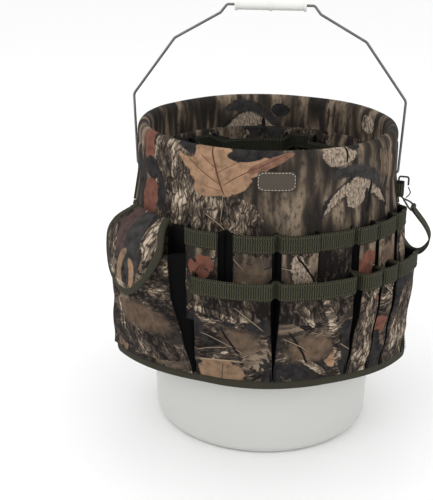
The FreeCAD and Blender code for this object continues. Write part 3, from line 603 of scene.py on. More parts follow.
    def line(self, start, end, width, bow=0.0, ragged=0.0):
        """Mask of a stroke between two flat points."""
        (u0, v0), (u1, v1) = start, end
        half = math.hypot(u1 - u0, v1 - v0) / 2
        turn = math.degrees(math.atan2(v1 - v0, u1 - u0))
        local = self.graph.local(self.flat, (u0 + u1) / 2, (v0 + v1) / 2, turn, half, width / 2)
        edge = self.graph.maths("MULTIPLY", self.edge, ragged)
        return self.group("stroke", local=local, bow=bow, edge=edge)

    def over(self, mask, colour):
        self.colour = self.graph.mix(mask, self.colour, colour)
        return self

    def paint(self, *marks):
        """Lays marks over: each a mask's kind and numbers, then a colour, or a skin's name and numbers."""
        for kind, numbers, skin, *values in marks:
            mask = getattr(self, kind)(*numbers)
            self.over(mask, getattr(self, skin)(*values) if isinstance(skin, str) else skin)

    def joined(self, *masks):
        total = masks[0]
        for mask in masks[1:]:
            total = self.graph.maths("MAXIMUM", total, mask)
        return total

    def without(self, mask, cut):
        return self.graph.maths("MULTIPLY", mask, self.graph.maths("SUBTRACT", 1.0, cut))

    def twig(self, start, end, width, bow=0.0, colour=(0.30, 0.235, 0.17)):
        """A thin twig. bow is how far its middle strays, in hundredths of its length."""
        long = math.hypot(end[0] - start[0], end[1] - start[1])
        bend = bow * 0.08 * long / width
        self.over(self.line(start, end, width * 2.4, bend / 2.4, 1.5), DARK)
        return self.over(self.line(start, end, width, bend, 1.5), colour)

    def cloth(self):
        """Ends the print in a woven cloth's shader, with painted shade in the weave's hollows."""
        graph = self.graph
        height = self.group("weave", place=self.flat, pitch=WEAVE_PITCH)
        slub = graph.noise(self.flat, 900.0, 2.0)[0]
        raised = graph.maths("ADD", height, graph.maths("MULTIPLY", slub, 1.5))
        normal = graph.bump(0.25, 0.0002, raised)
        # Painted shade: the weave's hollows are darkened, following the same height as its bump.
        dim = graph.vector("MULTIPLY", self.colour, (0.86, 0.86, 0.86))
        woven = graph.mix(graph.band(height, -0.6, 0.9), dim, self.colour)
        graph.surface(woven, 0.9, normal, Specular_IOR_Level=0.12)
        return self.material


def plain_material(name):
    material = bpy.data.materials.new(name)
    material.use_nodes = True
    material.node_tree.nodes.clear()
    return material, Graph(material.node_tree)


def ribbed(name, colour, pitch, depth, cross=0.0016, contrast=0.88, gloss=0.15):
    """Webbing or tape: upright ribs across its length, with a finer weave between, and painted shade in its
    grooves and painted highlight on its ridges.
    """
    material, graph = plain_material(name)
    flat = graph.add("ShaderNodeUVMap", uv_map="flat")[0]
    axes = graph.add("ShaderNodeSeparateXYZ", {0: flat})
    wander = graph.maths("MULTIPLY", graph.noise(flat, 240.0, 1.0)[0], pitch * 0.6)
    zigzag = graph.maths("MULTIPLY", graph.maths("PINGPONG", axes[1], cross * 2), 0.2)
    across = graph.maths("ADD", graph.maths("ADD", axes[0], wander), zigzag)
    rib = graph.maths("SINE", graph.maths("MULTIPLY", across, 2 * math.pi / pitch))
    cell = graph.maths("SINE", graph.maths("MULTIPLY", axes[1], 2 * math.pi / cross))
    height = graph.maths("ADD", rib, graph.maths("MULTIPLY", cell, 0.45))
    fade = graph.noise(flat, 34.0, 3.0)[0]
    # Painted shade and highlight: the colour follows the ribs' height, darker in the grooves and lighter on
    # the ridges.
    dark = tuple(c * (1.0 - contrast) for c in colour)
    light = tuple(min(1.0, c * (1.0 + contrast)) for c in colour)
    tone = graph.ramp(graph.band(height, -1.3, 1.3), (0.15, dark), (0.55, colour), (0.95, light))
    # A random faded wear laid over the painted rib shading.
    worn_and_shaded = graph.mix(graph.maths("MULTIPLY", fade, 0.4), tone, tuple(c * 1.2 for c in colour))
    graph.surface(worn_and_shaded, 0.78, graph.bump(0.7, depth, height), Specular_IOR_Level=gloss)
    return material


def moulded(name, colour, roughness, scuffs=0.3):
    """Moulded plastic with a faint grain and dull scuffs."""
    material, graph = plain_material(name)
    place = graph.add("ShaderNodeTexCoord")["Object"]
    fine = graph.noise(place, 900.0, 3.0)[0]
    cloud = graph.noise(place, 9.0, 4.0, 0.6)[0]
    scratch = graph.noise(graph.vector("MULTIPLY", place, (1.0, 1.0, 0.12)), 160.0, 4.0, 0.7)[0]
    dull = graph.maths("MULTIPLY", graph.band(scratch, 0.55, 0.75), scuffs)
    tone = graph.mix(cloud, tuple(c * 0.955 for c in colour), colour)
    rough = graph.maths("ADD", roughness, graph.maths("MULTIPLY", dull, 0.3))
    graph.surface(tone, rough, graph.bump(0.25, 0.0001, fine), Specular_IOR_Level=0.45)
    return material


def drawn_wire(name, colour, metallic, roughness):
    """Drawn steel wire: fine lines along it and a little tarnish."""
    material, graph = plain_material(name)
    place = graph.add("ShaderNodeTexCoord")["Object"]
    tarnish = graph.noise(place, 45.0, 4.0, 0.6)[0]
    lines = graph.noise(graph.vector("MULTIPLY", place, (900.0, 900.0, 60.0)), 1.0, 2.0)[0]
    tone = graph.mix(graph.band(tarnish, 0.35, 0.7), tuple(c * 0.7 for c in colour), colour)
    rough = graph.maths("ADD", roughness, graph.maths("MULTIPLY", tarnish, 0.2))
    graph.surface(tone, rough, graph.bump(0.15, 0.0001, lines), Metallic=metallic)
    return material


def fuzzy(name, colour):
    """Hook and loop fastener: a dense pile of tiny loops."""
    material, graph = plain_material(name)
    place = graph.add("ShaderNodeTexCoord")["Object"]
    cells = graph.add("ShaderNodeTexVoronoi", {"Vector": place, "Scale": 900.0})[0]
    tone = graph.mix(cells, colour, tuple(c * 0.3 for c in colour))
    graph.surface(tone, 0.95, graph.bump(1.0, 0.0006, cells), Sheen_Weight=0.4)
    return material


webbing = ribbed("webbing", OLIVE, 0.0026, 0.0004)
edge_tape = ribbed("edge_tape", (0.036, 0.034, 0.022), 0.0015, 0.0002, contrast=0.3, cross=0.0011)
black_web = ribbed("black_webbing", (0.02, 0.021, 0.014), 0.0024, 0.0003)
# Near-black for the pockets' side folds: painted shade of the pleats between pockets.
pleat_shade_cloth = ribbed("pleat_shade_cloth", SHADE_BLACK, 0.0012, 0.0001, contrast=0.3, gloss=0.05)
thread = ribbed("thread", (0.050, 0.048, 0.030), 0.0006, 0.0001)
pail_plastic = moulded("pail_plastic", (0.57, 0.57, 0.55), 0.42)
grip_plastic = moulded("grip_plastic", (0.78, 0.78, 0.75), 0.35, scuffs=0.15)
steel = drawn_wire("bail_steel", (0.20, 0.20, 0.205), 0.9, 0.28)
black_steel = drawn_wire("black_wire", (0.05, 0.048, 0.045), 0.6, 0.35)
pile = fuzzy("hook_and_loop", (0.03, 0.03, 0.028))

# ---------------------------------------------------------------- shapes shared by the cloth pieces

collar = reach("rim_cover")
panel = {"front": reach("front_panel_tape"), "back": reach("back_panel_tape")}
COLLAR_RADIUS = 0.1545
COLLAR_HEM = collar.foot
COLLAR_KNEE = 0.322
COLLAR_FLARE = 0.006
ROLL_HEIGHT = 0.366
ROLL_RUN = 0.031
INNER_RADIUS = collar.inner
INNER_HEM = 0.335
SLIT_AZIMUTHS = (95.0, 275.0)
SLIT_HALF = 0.0245
SLIT_TOP = 0.3445
PANEL_RADIUS = panel["front"].outer - TAPE_PROUD
PANEL_TOP = panel["front"].top
HEM = panel["front"].foot


def panel_place(azimuth):
    """Which panel an azimuth is on, and how far from its middle, -1 to 1."""
    azimuth = (azimuth + 180) % 360 - 180
    name = "front" if panel["front"].start - 1 <= azimuth <= panel["front"].end + 1 else "back"
    side = panel[name]
    middle = (side.start + side.end) / 2
    return name, ((azimuth - middle + 180) % 360 - 180) / ((side.end - side.start) / 2)


CORNER_FLARE = {("front", -1): 0.024, ("front", 1): 0.0185, ("back", -1): 0.012, ("back", 1): 0.012}
CORNER_DROOP = {("front", -1): 0.012, ("front", 1): 0.014, ("back", -1): 0.004, ("back", 1): 0.004}


def corner_share(across):
    return min(1.3, max(0.0, abs(across) - 0.3) / 0.7) ** 1.5


def panel_radius(azimuth, height):
    """Outside of a panel: it hangs close at its middle, and its lower corners stand away."""
    name, across = panel_place(azimuth)
    drop = max(0.0, (PANEL_TOP - height) / (PANEL_TOP - HEM))
    corner = CORNER_FLARE[name, 1 if across > 0 else -1] * corner_share(across) * drop ** 1.15
    wave = 0.0012 * drop * ripple(azimuth, height, 0.06, 3.0)
    return PANEL_RADIUS + 0.002 * drop + corner + wave


def drooped(azimuth, height):
    """A height on a panel after its corners have sagged."""
    name, across = panel_place(azimuth)
    drop = min(1.0, max(0.0, (PANEL_TOP - 0.06 - height) / (PANEL_TOP - 0.06 - HEM)))
    return height - CORNER_DROOP[name, 1 if across > 0 else -1] * corner_share(across) * drop


def collar_outline(share):
    """Radius and height of the cover's outside, from its outer hem (0) over the roll to its inner hem (1)."""
    legs = [
        ((COLLAR_RADIUS + COLLAR_FLARE, COLLAR_HEM), (COLLAR_RADIUS, COLLAR_KNEE)),
        ((COLLAR_RADIUS, COLLAR_KNEE), (COLLAR_RADIUS, ROLL_HEIGHT)),
        "roll",
        ((INNER_RADIUS, ROLL_HEIGHT), (INNER_RADIUS, INNER_HEM)),
    ]
    lengths = [COLLAR_KNEE - COLLAR_HEM, ROLL_HEIGHT - COLLAR_KNEE, ROLL_RUN, ROLL_HEIGHT - INNER_HEM]
    run = share * sum(lengths)
    for leg, length in zip(legs, lengths):
        if run <= length or leg is legs[-1]:
            part = min(1.0, run / length)
            if leg == "roll":
                half = (COLLAR_RADIUS - INNER_RADIUS) / 2
                turn = math.pi * part
                rise = (collar.top - ROLL_HEIGHT) * math.sin(turn)
                return COLLAR_RADIUS - half + half * math.cos(turn), ROLL_HEIGHT + rise
            (r0, z0), (r1, z1) = leg
            return blend_between(r0, r1, part), blend_between(z0, z1, part)
        run -= length
    raise ValueError(share)


def collar_point(azimuth, share):
    """A point on the cover, with the soft lumps and drag lines of padded cloth."""
    radius, height = collar_outline(share)
    outside = 1.0 if share < 0.55 else 0.5
    lumps = 0.0011 * ripple(azimuth, height, 0.045, 1.0) + 0.0006 * ripple(azimuth, height * 0.35, 0.014, 7.0)
    hem = eased_step((COLLAR_KNEE + 0.01 - height) / 0.045) if share < 0.5 else 0.0
    above_knee = min(1.0, max(0.0, (height - COLLAR_KNEE) / (ROLL_HEIGHT - COLLAR_KNEE)))
    puff = 0.0016 * math.sin(math.pi * above_knee)
    sag = 0.0012 * ripple(azimuth, 0.1, 0.09, 4.0) if 0.45 < share < 0.8 else 0.0
    return at(azimuth, radius + outside * (lumps + puff * (share < 0.5)) - 0.001 * hem, height + sag)


# ---------------------------------------------------------------- prints for the cloth pieces


def on_collar(azimuth, height):
    """Flat place on the cover's print."""
    return math.radians(azimuth) * COLLAR_RADIUS, height


def draw_big_leaf(cloth):
    """The large tan leaf on the front: a lobed blade with a dark main vein and side veins."""
    blade = cloth.joined(
        cloth.oval(-0.046, 0.352, 0.034, 0.025, -15.0, 0.30),
        cloth.oval(-0.070, 0.362, 0.027, 0.013, -22.0, 0.40),
        cloth.oval(-0.052, 0.374, 0.024, 0.016, 0.0, 0.25),
        cloth.oval(-0.052, 0.338, 0.022, 0.0125, 18.0, 0.40),
        cloth.oval(-0.024, 0.342, 0.018, 0.010, 28.0, 0.40),
        cloth.oval(-0.013, 0.359, 0.031, 0.0105, 20.0, 0.30),
    )
    notch = cloth.joined(
        cloth.oval(-0.014, 0.3745, 0.021, 0.0072, 4.0, 0.2),
        cloth.oval(-0.088, 0.378, 0.018, 0.010, -30.0, 0.3),
    )
    blade = cloth.without(blade, notch)
    cloth.paint(("oval", (-0.045, 0.350, 0.044, 0.034, -10.0, 0.6, 0.5), "smooth_dark"))
    cloth.over(blade, cloth.leaf_skin(TAN_LEAF))
    tip = cloth.joined(
        cloth.oval(0.010, 0.366, 0.026, 0.0055, 24.0, 0.4),
        cloth.oval(0.027, 0.374, 0.012, 0.003, 20.0, 0.4),
    )
    cloth.over(tip, cloth.leaf_skin((0.20, 0.105, 0.070)))
    vein = (0.10, 0.045, 0.03)
    for start, end, width, bow in (
        ((-0.055, 0.388), (-0.036, 0.326), 0.0022, -1.0),
        ((-0.040, 0.340), (-0.084, 0.367), 0.0012, 2.0),
        ((-0.047, 0.358), (-0.066, 0.372), 0.0009, 1.0),
        ((-0.039, 0.339), (-0.002, 0.362), 0.0011, 2.0),
        ((-0.004, 0.360), (0.030, 0.377), 0.0010, 1.0),
        ((-0.046, 0.352), (-0.024, 0.366), 0.0008, 1.0),
        ((-0.038, 0.333), (-0.062, 0.338), 0.0008, 1.0),
    ):
        cloth.paint(("line", (start, end, width, bow, 0.8), vein))


def draw_boughs(cloth, azimuth, height, way=1.0):
    """A charcoal bough over a bent cream one, with a cream burl under them. way -1 turns them round."""
    u, v = on_collar(azimuth, height)

    def place(side, up):
        return u + side * way, v + up * way

    cloth.paint(
        ("line", (place(-0.052, -0.036), place(0.056, -0.038), 0.024, 3.0, 1.0), "smooth_dark"),
        ("line", (place(-0.045, -0.032), place(0.051, -0.033), 0.0165, 3.9, 2.0), "cream_skin"),
        ("line", (place(-0.038, 0.011), place(0.043, -0.013), 0.0175, 1.6, 0.9), "smooth_charcoal"),
        ("oval", (*place(-0.001, -0.015), 0.0150, 0.0115, 25.0, 0.7), "cream_skin"),
        ("line", (place(0.021, 0.0), place(0.013, -0.036), 0.0060, 1.2, 1.0), DARK),
    )


def collar_print():
    cloth = Print("camo_collar", 0.31, 0.12)
    cloth.colour = cloth.trunks()
    inside_fold = 0.397 + ROLL_HEIGHT
    u, v = on_collar(-37.0, 0.335)
    bark_area = cloth.joined(
        cloth.oval(u, v, 0.044, 0.074, 0.0, 0.35),
        cloth.oval(-0.040, 0.300, 0.048, 0.030, 0.0, 0.5),
    )
    cloth.over(bark_area, cloth.bark(0.85))
    for azimuth, height, wide, tall, turn in (
        (-56.0, 0.368, 0.013, 0.026, 14.0),
        (-54.0, 0.306, 0.018, 0.024, -12.0),
        (-60.0, 0.395, 0.014, 0.012, 0.0),
    ):
        cloth.paint(("oval", (*on_collar(azimuth, height), wide, tall, turn, 0.6), "leaf_skin", RED_LEAF))
    dark_spots = (-52.5, 0.341, 0.018, 0.013), (-66.0, 0.330, 0.012, 0.030), (-45.5, 0.318, 0.007, 0.024)
    for azimuth, height, wide, tall in dark_spots:
        cloth.paint(("oval", (*on_collar(azimuth, height), wide, tall, 0.0, 0.4), "smooth_dark"))
    cloth.paint(
        ("oval", (*on_collar(-30.0, 0.385), 0.022, 0.014, -20.0, 0.25), "smooth_dark"),
        ("oval", (*on_collar(-3.0, 0.377), 0.034, 0.010, 4.0, 0.6), "smooth_dark"),
    )
    draw_big_leaf(cloth)
    cloth.paint(
        ("oval", (*on_collar(33.5, 0.375), 0.022, 0.016, 0.0, 0.55), "cream_skin"),
        ("line", (on_collar(36.0, 0.392), on_collar(36.5, 0.362), 0.0030, 1.0, 0.6), DARK),
        ("oval", (*on_collar(41.0, 0.384), 0.010, 0.009, 0.0, 0.5), "smooth_dark"),
    )
    draw_boughs(cloth, 43.0, 0.337)
    # Painted shadow: a black oval on the cover beside the flap pocket, where it lies in shade.
    cloth.paint(("oval", (*on_collar(-33.0, 0.276), 0.016, 0.013, 0.0, 0.3, 0.3), SHADE_BLACK))
    for azimuth, height, wide in ((62.0, 0.349, 0.0055), (66.5, 0.345, 0.0040), (57.0, 0.354, 0.0035)):
        start, end = on_collar(azimuth, height + 0.017), on_collar(azimuth + 1.0, height - 0.015)
        cloth.paint(("line", (start, end, wide, 0.5, 1.0), (0.16, 0.10, 0.06)))
    cloth.twig(on_collar(-22.0, 0.306), on_collar(-12.0, 0.288), 0.0014, 1.0)
    cloth.twig(on_collar(-10.0, 0.291), on_collar(3.0, 0.283), 0.0012, -1.0)
    cloth.twig(on_collar(-14.5, 0.330), on_collar(-15.0, 0.298), 0.0008, 0.5)
    draw_boughs(cloth, 193.0, inside_fold - 0.349, -1.0)
    cloth.paint(("oval", (*on_collar(176.0, inside_fold - 0.358), 0.014, 0.009, 0.0, 0.4), "smooth_dark"))
    for azimuth, height in ((145.0, 0.359), (148.5, 0.354), (228.0, 0.356), (231.0, 0.352)):
        u, v = on_collar(azimuth, inside_fold - height)
        mark = cloth.line((u, v - 0.014), (u + 0.002, v + 0.014), 0.0042, 0.6, 1.0)
        cloth.over(mark, (0.045, 0.033, 0.024))
    cloth.paint(("oval", (*on_collar(119.0, inside_fold - 0.359), 0.016, 0.012, 0.0, 0.8), "bark", 1.5))
    draw_boughs(cloth, 194.0, 0.330)
    return cloth.cloth()


def scrap_print(
    name, u, v, light=0.5, bark_share=0.5, seed=0, area=None, counts=(2, 1, 3), extra=None, turn=0.0
):
    """A pocket's or panel's print: a cut from elsewhere on the roll, with what shows on it drawn over."""
    cloth = Print(name, u, v, turn, light).base(bark_share)
    if area:
        cloth.scatter(seed, area[:2], area[2:], *counts)
    if extra:
        extra(cloth)
    return cloth.cloth()


# ---------------------------------------------------------------- collar and its slits


def build_collar():
    """The padded cover over the rim, slit at each ear."""
    half = math.degrees(math.asin(SLIT_HALF / COLLAR_RADIUS))
    azimuths, in_slit = [], []
    for slit, after in zip(SLIT_AZIMUTHS, (SLIT_AZIMUTHS[1], SLIT_AZIMUTHS[0] + 360)):
        columns = 12
        azimuths += [slit - half + 2 * half * k / columns for k in range(columns)]
        in_slit += [True] * columns
        columns = 132
        gap = after - slit - 2 * half
        azimuths += [slit + half + gap * k / columns for k in range(columns)]
        in_slit += [False] * columns
    shares = [k / 72 for k in range(73)]
    slit_row = min(k for k, s in enumerate(shares) if collar_outline(s)[1] >= SLIT_TOP)
    shares[slit_row] = blend_between(shares[slit_row - 1], shares[slit_row], 0.5)
    rows = [[collar_point(a, s) for a in azimuths] for s in shares]
    across = [math.radians(a - 360.0 if a > 270.0 else a) * COLLAR_RADIUS for a in azimuths]
    across.append(across[0])
    middle = running_length([row[40] for row in rows])
    along = [COLLAR_HEM + length for length in middle]

    def cut_out(i, j):
        return in_slit[j] and i < slit_row

    piece = grid("rim_cover_cloth", rows, collar_print(), closed=True, skip=cut_out, flat=(across, along))
    mend_seam(piece)
    finish_cloth(piece, rows, "organizer", "camo_cloth", "folded", "rim_cover", thickness=PADDED, closed=True)


def mend_seam(piece):
    """Gives the faces at the print's join their true flat place, so that the print isn't squeezed there."""
    layer = piece.data.uv_layers["flat"]
    jump = 2 * math.pi * COLLAR_RADIUS
    for face in piece.data.polygons:
        flat = [layer.data[i].uv[0] for i in face.loop_indices]
        if max(flat) - min(flat) > jump / 2:
            for i in face.loop_indices:
                if layer.data[i].uv[0] < 0:
                    layer.data[i].uv[0] += jump


def slit_tape_sections():
    """The sections of the folded tape round each slit."""
    parts = []
    path = binding_path((-SLIT_HALF, SLIT_HALF), (COLLAR_HEM, SLIT_TOP), 0.006, 1.0, -1.0, (14, 6, 14))
    flare = COLLAR_FLARE / (COLLAR_KNEE - COLLAR_HEM)
    for slit in SLIT_AZIMUTHS:
        edge, normals, inwards = [], [], []
        for u, height, (side, up) in path:
            azimuth = slit + math.degrees(math.asin(u / COLLAR_RADIUS))
            radius = COLLAR_RADIUS + flare * max(0.0, COLLAR_KNEE - height)
            edge.append(at(azimuth, radius - PADDED / 2, height))
            normals.append(outward(azimuth))
            inwards.append(outward(azimuth + 90.0) * side + Vector((0, 0, up)))
        parts.append(binding_sections(edge, normals, inwards, 0.0052, PADDED / 2 + TAPE_PROUD))
    return parts


# ---------------------------------------------------------------- panels

seams = []


def build_panel(side):
    """A panel's cloth, from the cover's hem down to its own."""
    area = panel[side]
    columns, rows_high = 120, 40
    azimuths = [blend_between(area.start + 0.6, area.end - 0.6, k / columns) for k in range(columns + 1)]
    heights = [blend_between(HEM + 0.001, PANEL_TOP, k / rows_high) for k in range(rows_high + 1)]
    rows = [[at(a, panel_radius(a, z), drooped(a, z)) for a in azimuths] for z in heights]
    seed = 5 if side == "front" else 6
    beside_flap = math.radians(-32.0 - area.start) * PANEL_RADIUS

    def shade(cloth):
        if side == "front":
            # Painted shadow: a black oval on the panel beside the flap pocket.
            cloth.paint(("oval", (beside_flap, 0.235, 0.019, 0.070, 0.0, 0.2, 0.2), SHADE_BLACK))

    span = (0.0, HEM, 0.43, PANEL_TOP)
    cloth = scrap_print(f"camo_{side}_panel", 0.7 + seed, 0.3, 0.45, 0.6, seed, span, (3, 2, 3), shade)
    piece = grid(f"{side}_panel_cloth", rows, cloth, origin=(0.0, HEM))
    finish_cloth(piece, rows, "organizer", "camo_cloth", "hung", f"{side}_panel", thickness=PANEL_CLOTH)


def build_panel_tape(side):
    """The folded tape down a panel's sides and along its hem, with its lower corners rounded."""
    sides = panel[side].start, panel[side].end
    path = binding_path(sides, (PANEL_TOP, HEM), 0.012, math.degrees(1 / PANEL_RADIUS), 1.0, (20, 8, 110))
    sections, inner_seam = [], []
    for azimuth, height, (side_way, up) in path:
        width = blend_between(SIDE_TAPE, HEM_TAPE, abs(up))
        normal = outward(azimuth)
        inward = outward(azimuth + 90.0) * side_way + Vector((0, 0, up))
        point = at(azimuth, panel_radius(azimuth, height) - 0.0012, drooped(azimuth, height))
        sections += binding_sections([point], [normal], [inward], width, 0.0012 + TAPE_PROUD + 0.0004)
        inner_seam.append((point + inward * (width - 0.0022) + normal * (0.0023 + TAPE_PROUD), normal))
    piece = tubes(f"{side}_panel_binding", [sections], edge_tape)
    ride_on(piece, "organizer", "edge_tape", f"{side}_panel_tape")
    seams.append(inner_seam)


# ---------------------------------------------------------------- pockets

Pocket = namedtuple("Pocket", "node material seams foot_edges mouth_edges depths belly droop")
SIDE_COLUMNS, FRONT_COLUMNS = 9, 32


def pocket_row(area, share, pocket, sign, back):
    """Points round a pocket at a share of its height: side fold, front, side fold."""
    height = blend_between(area.foot, area.top, share)
    depth = sample(pocket.depths, share)
    front_height = height - pocket.droop * eased_step(share * 1.4 - 0.4)
    widen = eased_step(share * 1.15) ** 0.8
    left, right = (blend_between(f, m, widen) for f, m in zip(pocket.foot_edges, pocket.mouth_edges))
    middle, half = (left + right) / 2, (right - left) / 2

    def point(azimuth, out):
        lift = front_height if out > 0.5 else height
        drop = lift - drooped(azimuth, lift) if sign > 0 else 0.0
        return at(azimuth, back(azimuth, lift) + sign * depth * out, lift - drop)

    def side(seam, edge):
        tuck = 0.35 if edge > seam else -0.35
        pleat = blend_between(seam, edge, 0.75) + tuck
        stops = ((seam, 0.0), (seam, 0.25), (pleat, 0.55), (edge + tuck, 0.8), (edge, 0.95))
        return evenly(rounded_path([point(*stop) for stop in stops], 2), SIDE_COLUMNS + 1)

    crowned, crown = 1.0 + pocket.belly * 0.75, 1.0 + pocket.belly
    stops = (
        (left, 0.95), (left + 0.45, 1.0), (middle - half * 0.5, crowned), (middle, crown),
        (middle + half * 0.5, crowned), (right - 0.45, 1.0), (right, 0.95),
    )
    front = evenly(rounded_path([point(*stop) for stop in stops], 2), FRONT_COLUMNS + 1)
    return side(pocket.seams[0], left)[:-1] + front + side(pocket.seams[1], right)[::-1][1:]


def sample(stops, share):
    """Reads a smooth profile given as (share, value) stops."""
    for (s0, v0), (s1, v1) in zip(stops, stops[1:]):
        if share <= s1:
            return blend_between(v0, v1, eased_step((share - s0) / (s1 - s0)))
    return stops[-1][1]


def outer_back(azimuth, height):
    return panel_radius(azimuth, height) + 0.0010


def inner_back(*_):
    return liner.inner - 0.0004


def build_pocket(pocket, sign=1.0, back=outer_back, foot=None, seed=0.0, high=26):
    """A pocket as one cloth folded round: pleated sides in near-black, as painted shade of the pleats, and a
    full front.
    """
    area = reach(pocket.node)
    if foot is not None:
        area = area._replace(foot=foot)
    columns = 2 * SIDE_COLUMNS + FRONT_COLUMNS
    rows = []
    for i in range(high + 1):
        share = i / high
        fold = math.sin(math.pi * share)
        bent = []
        for j, point in enumerate(pocket_row(area, share, pocket, sign, back)):
            away = math.sin(math.pi * j / columns)
            azimuth, height = azimuth_of(point), point.z
            crease = 0.0015 * ripple(azimuth * 2.0, height * 0.5, 0.028, seed + 2.0)
            small = 0.0006 * ripple(azimuth * 1.5, height, 0.011, seed + 5.0)
            bent.append(point + outward(azimuth) * (sign * away * (crease * (0.3 + fold) + small)))
        rows.append(bent)
    half = running_length(rows[high // 2])[-1] / 2
    piece = grid(f"{pocket.node}_cloth", rows, pocket.material, origin=(-half, area.foot))
    # The side folds take the near-black cloth: painted shade in the pleats.
    piece.data.materials.append(pleat_shade_cloth)
    for k, face in enumerate(piece.data.polygons):
        on_front = SIDE_COLUMNS <= k % columns < SIDE_COLUMNS + FRONT_COLUMNS
        face.material_index = 0 if on_front else 1
    finish_cloth(piece, rows, "organizer", "camo_cloth", "folded", pocket.node, offset=-sign)
    return rows


# ---------------------------------------------------------------- webbing


def ribbon(name, centre, normals, material, nodes):
    """A band of upright webbing whose middle follows a path, with a stitched seam near each edge."""
    up, across = Vector((0, 0, 1)), 8
    rows = []
    for k in range(across + 1):
        off = (k / across - 0.5) * WEB_WIDTH
        rows.append([p + up * off + n * (WEBBING * 0.5) for p, n in zip(centre, normals)])
    piece = grid(name, rows, material)
    finish_cloth(piece, rows, "organizer", "webbing", "stretched", *nodes, thickness=WEBBING, offset=0.0)
    for off in (-0.38 * WEB_WIDTH, 0.38 * WEB_WIDTH):
        seams.append([(p + up * off + n * (WEBBING * 1.05), n) for p, n in zip(centre, normals)])


def path_normals(path, sign=1.0):
    """Level normals of a path round the pail, away from the axis where sign is +1."""
    normals = []
    for i, point in enumerate(path):
        run = path[min(i + 1, len(path) - 1)] - path[max(i - 1, 0)]
        normal = Vector((run.y, -run.x, 0)).normalized()
        normals.append(normal * sign)
    return normals


MOUTH_ROW = -3


def front_of(rows):
    """The front part of a pocket's row of points, near its mouth."""
    return rows[MOUTH_ROW][SIDE_COLUMNS: SIDE_COLUMNS + FRONT_COLUMNS + 1]


def build_mouth_webbing(name, nodes, pocket_rows, gaps, closed):
    """One length of webbing bound over a row of mouths, dipping between the pockets.

    closed says whether its first and last ends turn back to the panel.
    """
    top = max(p.z for p in pocket_rows[0][-1])
    chain = []
    for k, rows in enumerate(pocket_rows):
        front = front_of(rows)
        seam_ends = rows[MOUTH_ROW][2], rows[MOUTH_ROW][-3]
        if k == 0 and closed[0]:
            chain += [seam_ends[0], seam_ends[0].lerp(front[0], 0.7)]
        chain += front
        if k < len(pocket_rows) - 1:
            following = front_of(pocket_rows[k + 1])[0]
            middle = (front[-1] + following) / 2
            azimuth = azimuth_of(middle)
            depth = math.hypot(middle.x, middle.y) - outer_back(azimuth, middle.z)
            dip = outward(azimuth) * depth * gaps[k]
            near, far = (front[-1].lerp(following, share) - dip * 0.75 for share in (0.2, 0.8))
            chain += [near, middle - dip, far]
        elif closed[1]:
            chain += [front[-1].lerp(seam_ends[1], 0.3), seam_ends[1]]
    path = rounded_path(chain, 2)
    path = evenly(path, int(running_length(path)[-1] / 0.0022))
    normals = path_normals(path)
    level = chain[2].z
    lowered = top - WEB_WIDTH / 2 - 0.0002
    centre = [Vector((p.x, p.y, lowered + (p.z - level) * 0.6)) + n * 0.0003 for p, n in zip(path, normals)]
    ribbon(name, centre, normals, webbing, nodes)


# ---------------------------------------------------------------- build: cover, panels

build_collar()
slit_piece = tubes("slit_binding", slit_tape_sections(), edge_tape)
ride_on(slit_piece, "organizer", "edge_tape", "slit_tape")
for side in ("front", "back"):
    build_panel(side)
    build_panel_tape(side)

# ---------------------------------------------------------------- build: pockets

UPPER_DEPTHS = ((0.0, 0.0088), (0.5, 0.0100), (1.0, 0.0106))
LOWER_DEPTHS = ((0.0, 0.0030), (0.3, 0.0115), (0.7, 0.0200), (1.0, 0.0242))
LOWER_FOOT = HEM + HEM_TAPE - 0.003


def leaf_low(cloth):
    """Lower left: dark bark at the mouth, a tan blur, light twigs and a leaf at the foot."""
    cloth.paint(
        ("oval", (0.0, 0.212, 0.060, 0.017, 0.0, 0.6), "bark", 0.15, 90.0),
        ("oval", (0.012, 0.170, 0.030, 0.020, -20.0, 0.9, 0.6), "leaf_skin", (0.120, 0.083, 0.057)),
        ("line", ((-0.046, 0.206), (0.008, 0.196), 0.0080, 0.6, 1.5), "bark", 1.1, 90.0),
        ("oval", (-0.014, 0.124, 0.028, 0.019, 0.0, 0.4), "leaf_skin", (0.225, 0.145, 0.092)),
        ("line", ((-0.040, 0.138), (0.014, 0.142), 0.0022, 2.0, 0.6), (0.33, 0.24, 0.16)),
        ("line", ((-0.014, 0.104), (-0.010, 0.140), 0.0009, 0.5, 0.6), DARK),
    )
    cloth.twig((-0.038, 0.176), (0.016, 0.152), 0.0011, 1.0)
    cloth.twig((-0.012, 0.190), (0.010, 0.150), 0.0013, -1.0, DARK)
    cloth.twig((0.004, 0.215), (0.037, 0.186), 0.0011, 0.5)
    cloth.twig((-0.040, 0.152), (-0.004, 0.160), 0.0009, 1.0)


def twigs_low(cloth):
    """Lower middle: sideways bark at the mouth, a leaning trunk, and twigs over a tan blur."""
    cloth.paint(
        ("oval", (-0.010, 0.210, 0.050, 0.018, 0.0, 0.6), "bark", 0.25, 90.0),
        ("oval", (-0.004, 0.160, 0.034, 0.022, 0.0, 0.9, 0.5), "leaf_skin", (0.130, 0.088, 0.060)),
        ("line", ((0.002, 0.228), (0.030, 0.128), 0.0110, 1.0, 1.5), "bark", 1.25),
        ("line", ((-0.030, 0.214), (-0.004, 0.188), 0.0060, 0.8, 1.5), "bark", 1.3, 40.0),
    )
    cloth.twig((-0.034, 0.186), (-0.008, 0.138), 0.0013, 1.0, DARK)
    cloth.twig((-0.040, 0.176), (-0.006, 0.154), 0.0011, 1.0)
    cloth.twig((-0.022, 0.148), (0.012, 0.130), 0.0010, -1.0)


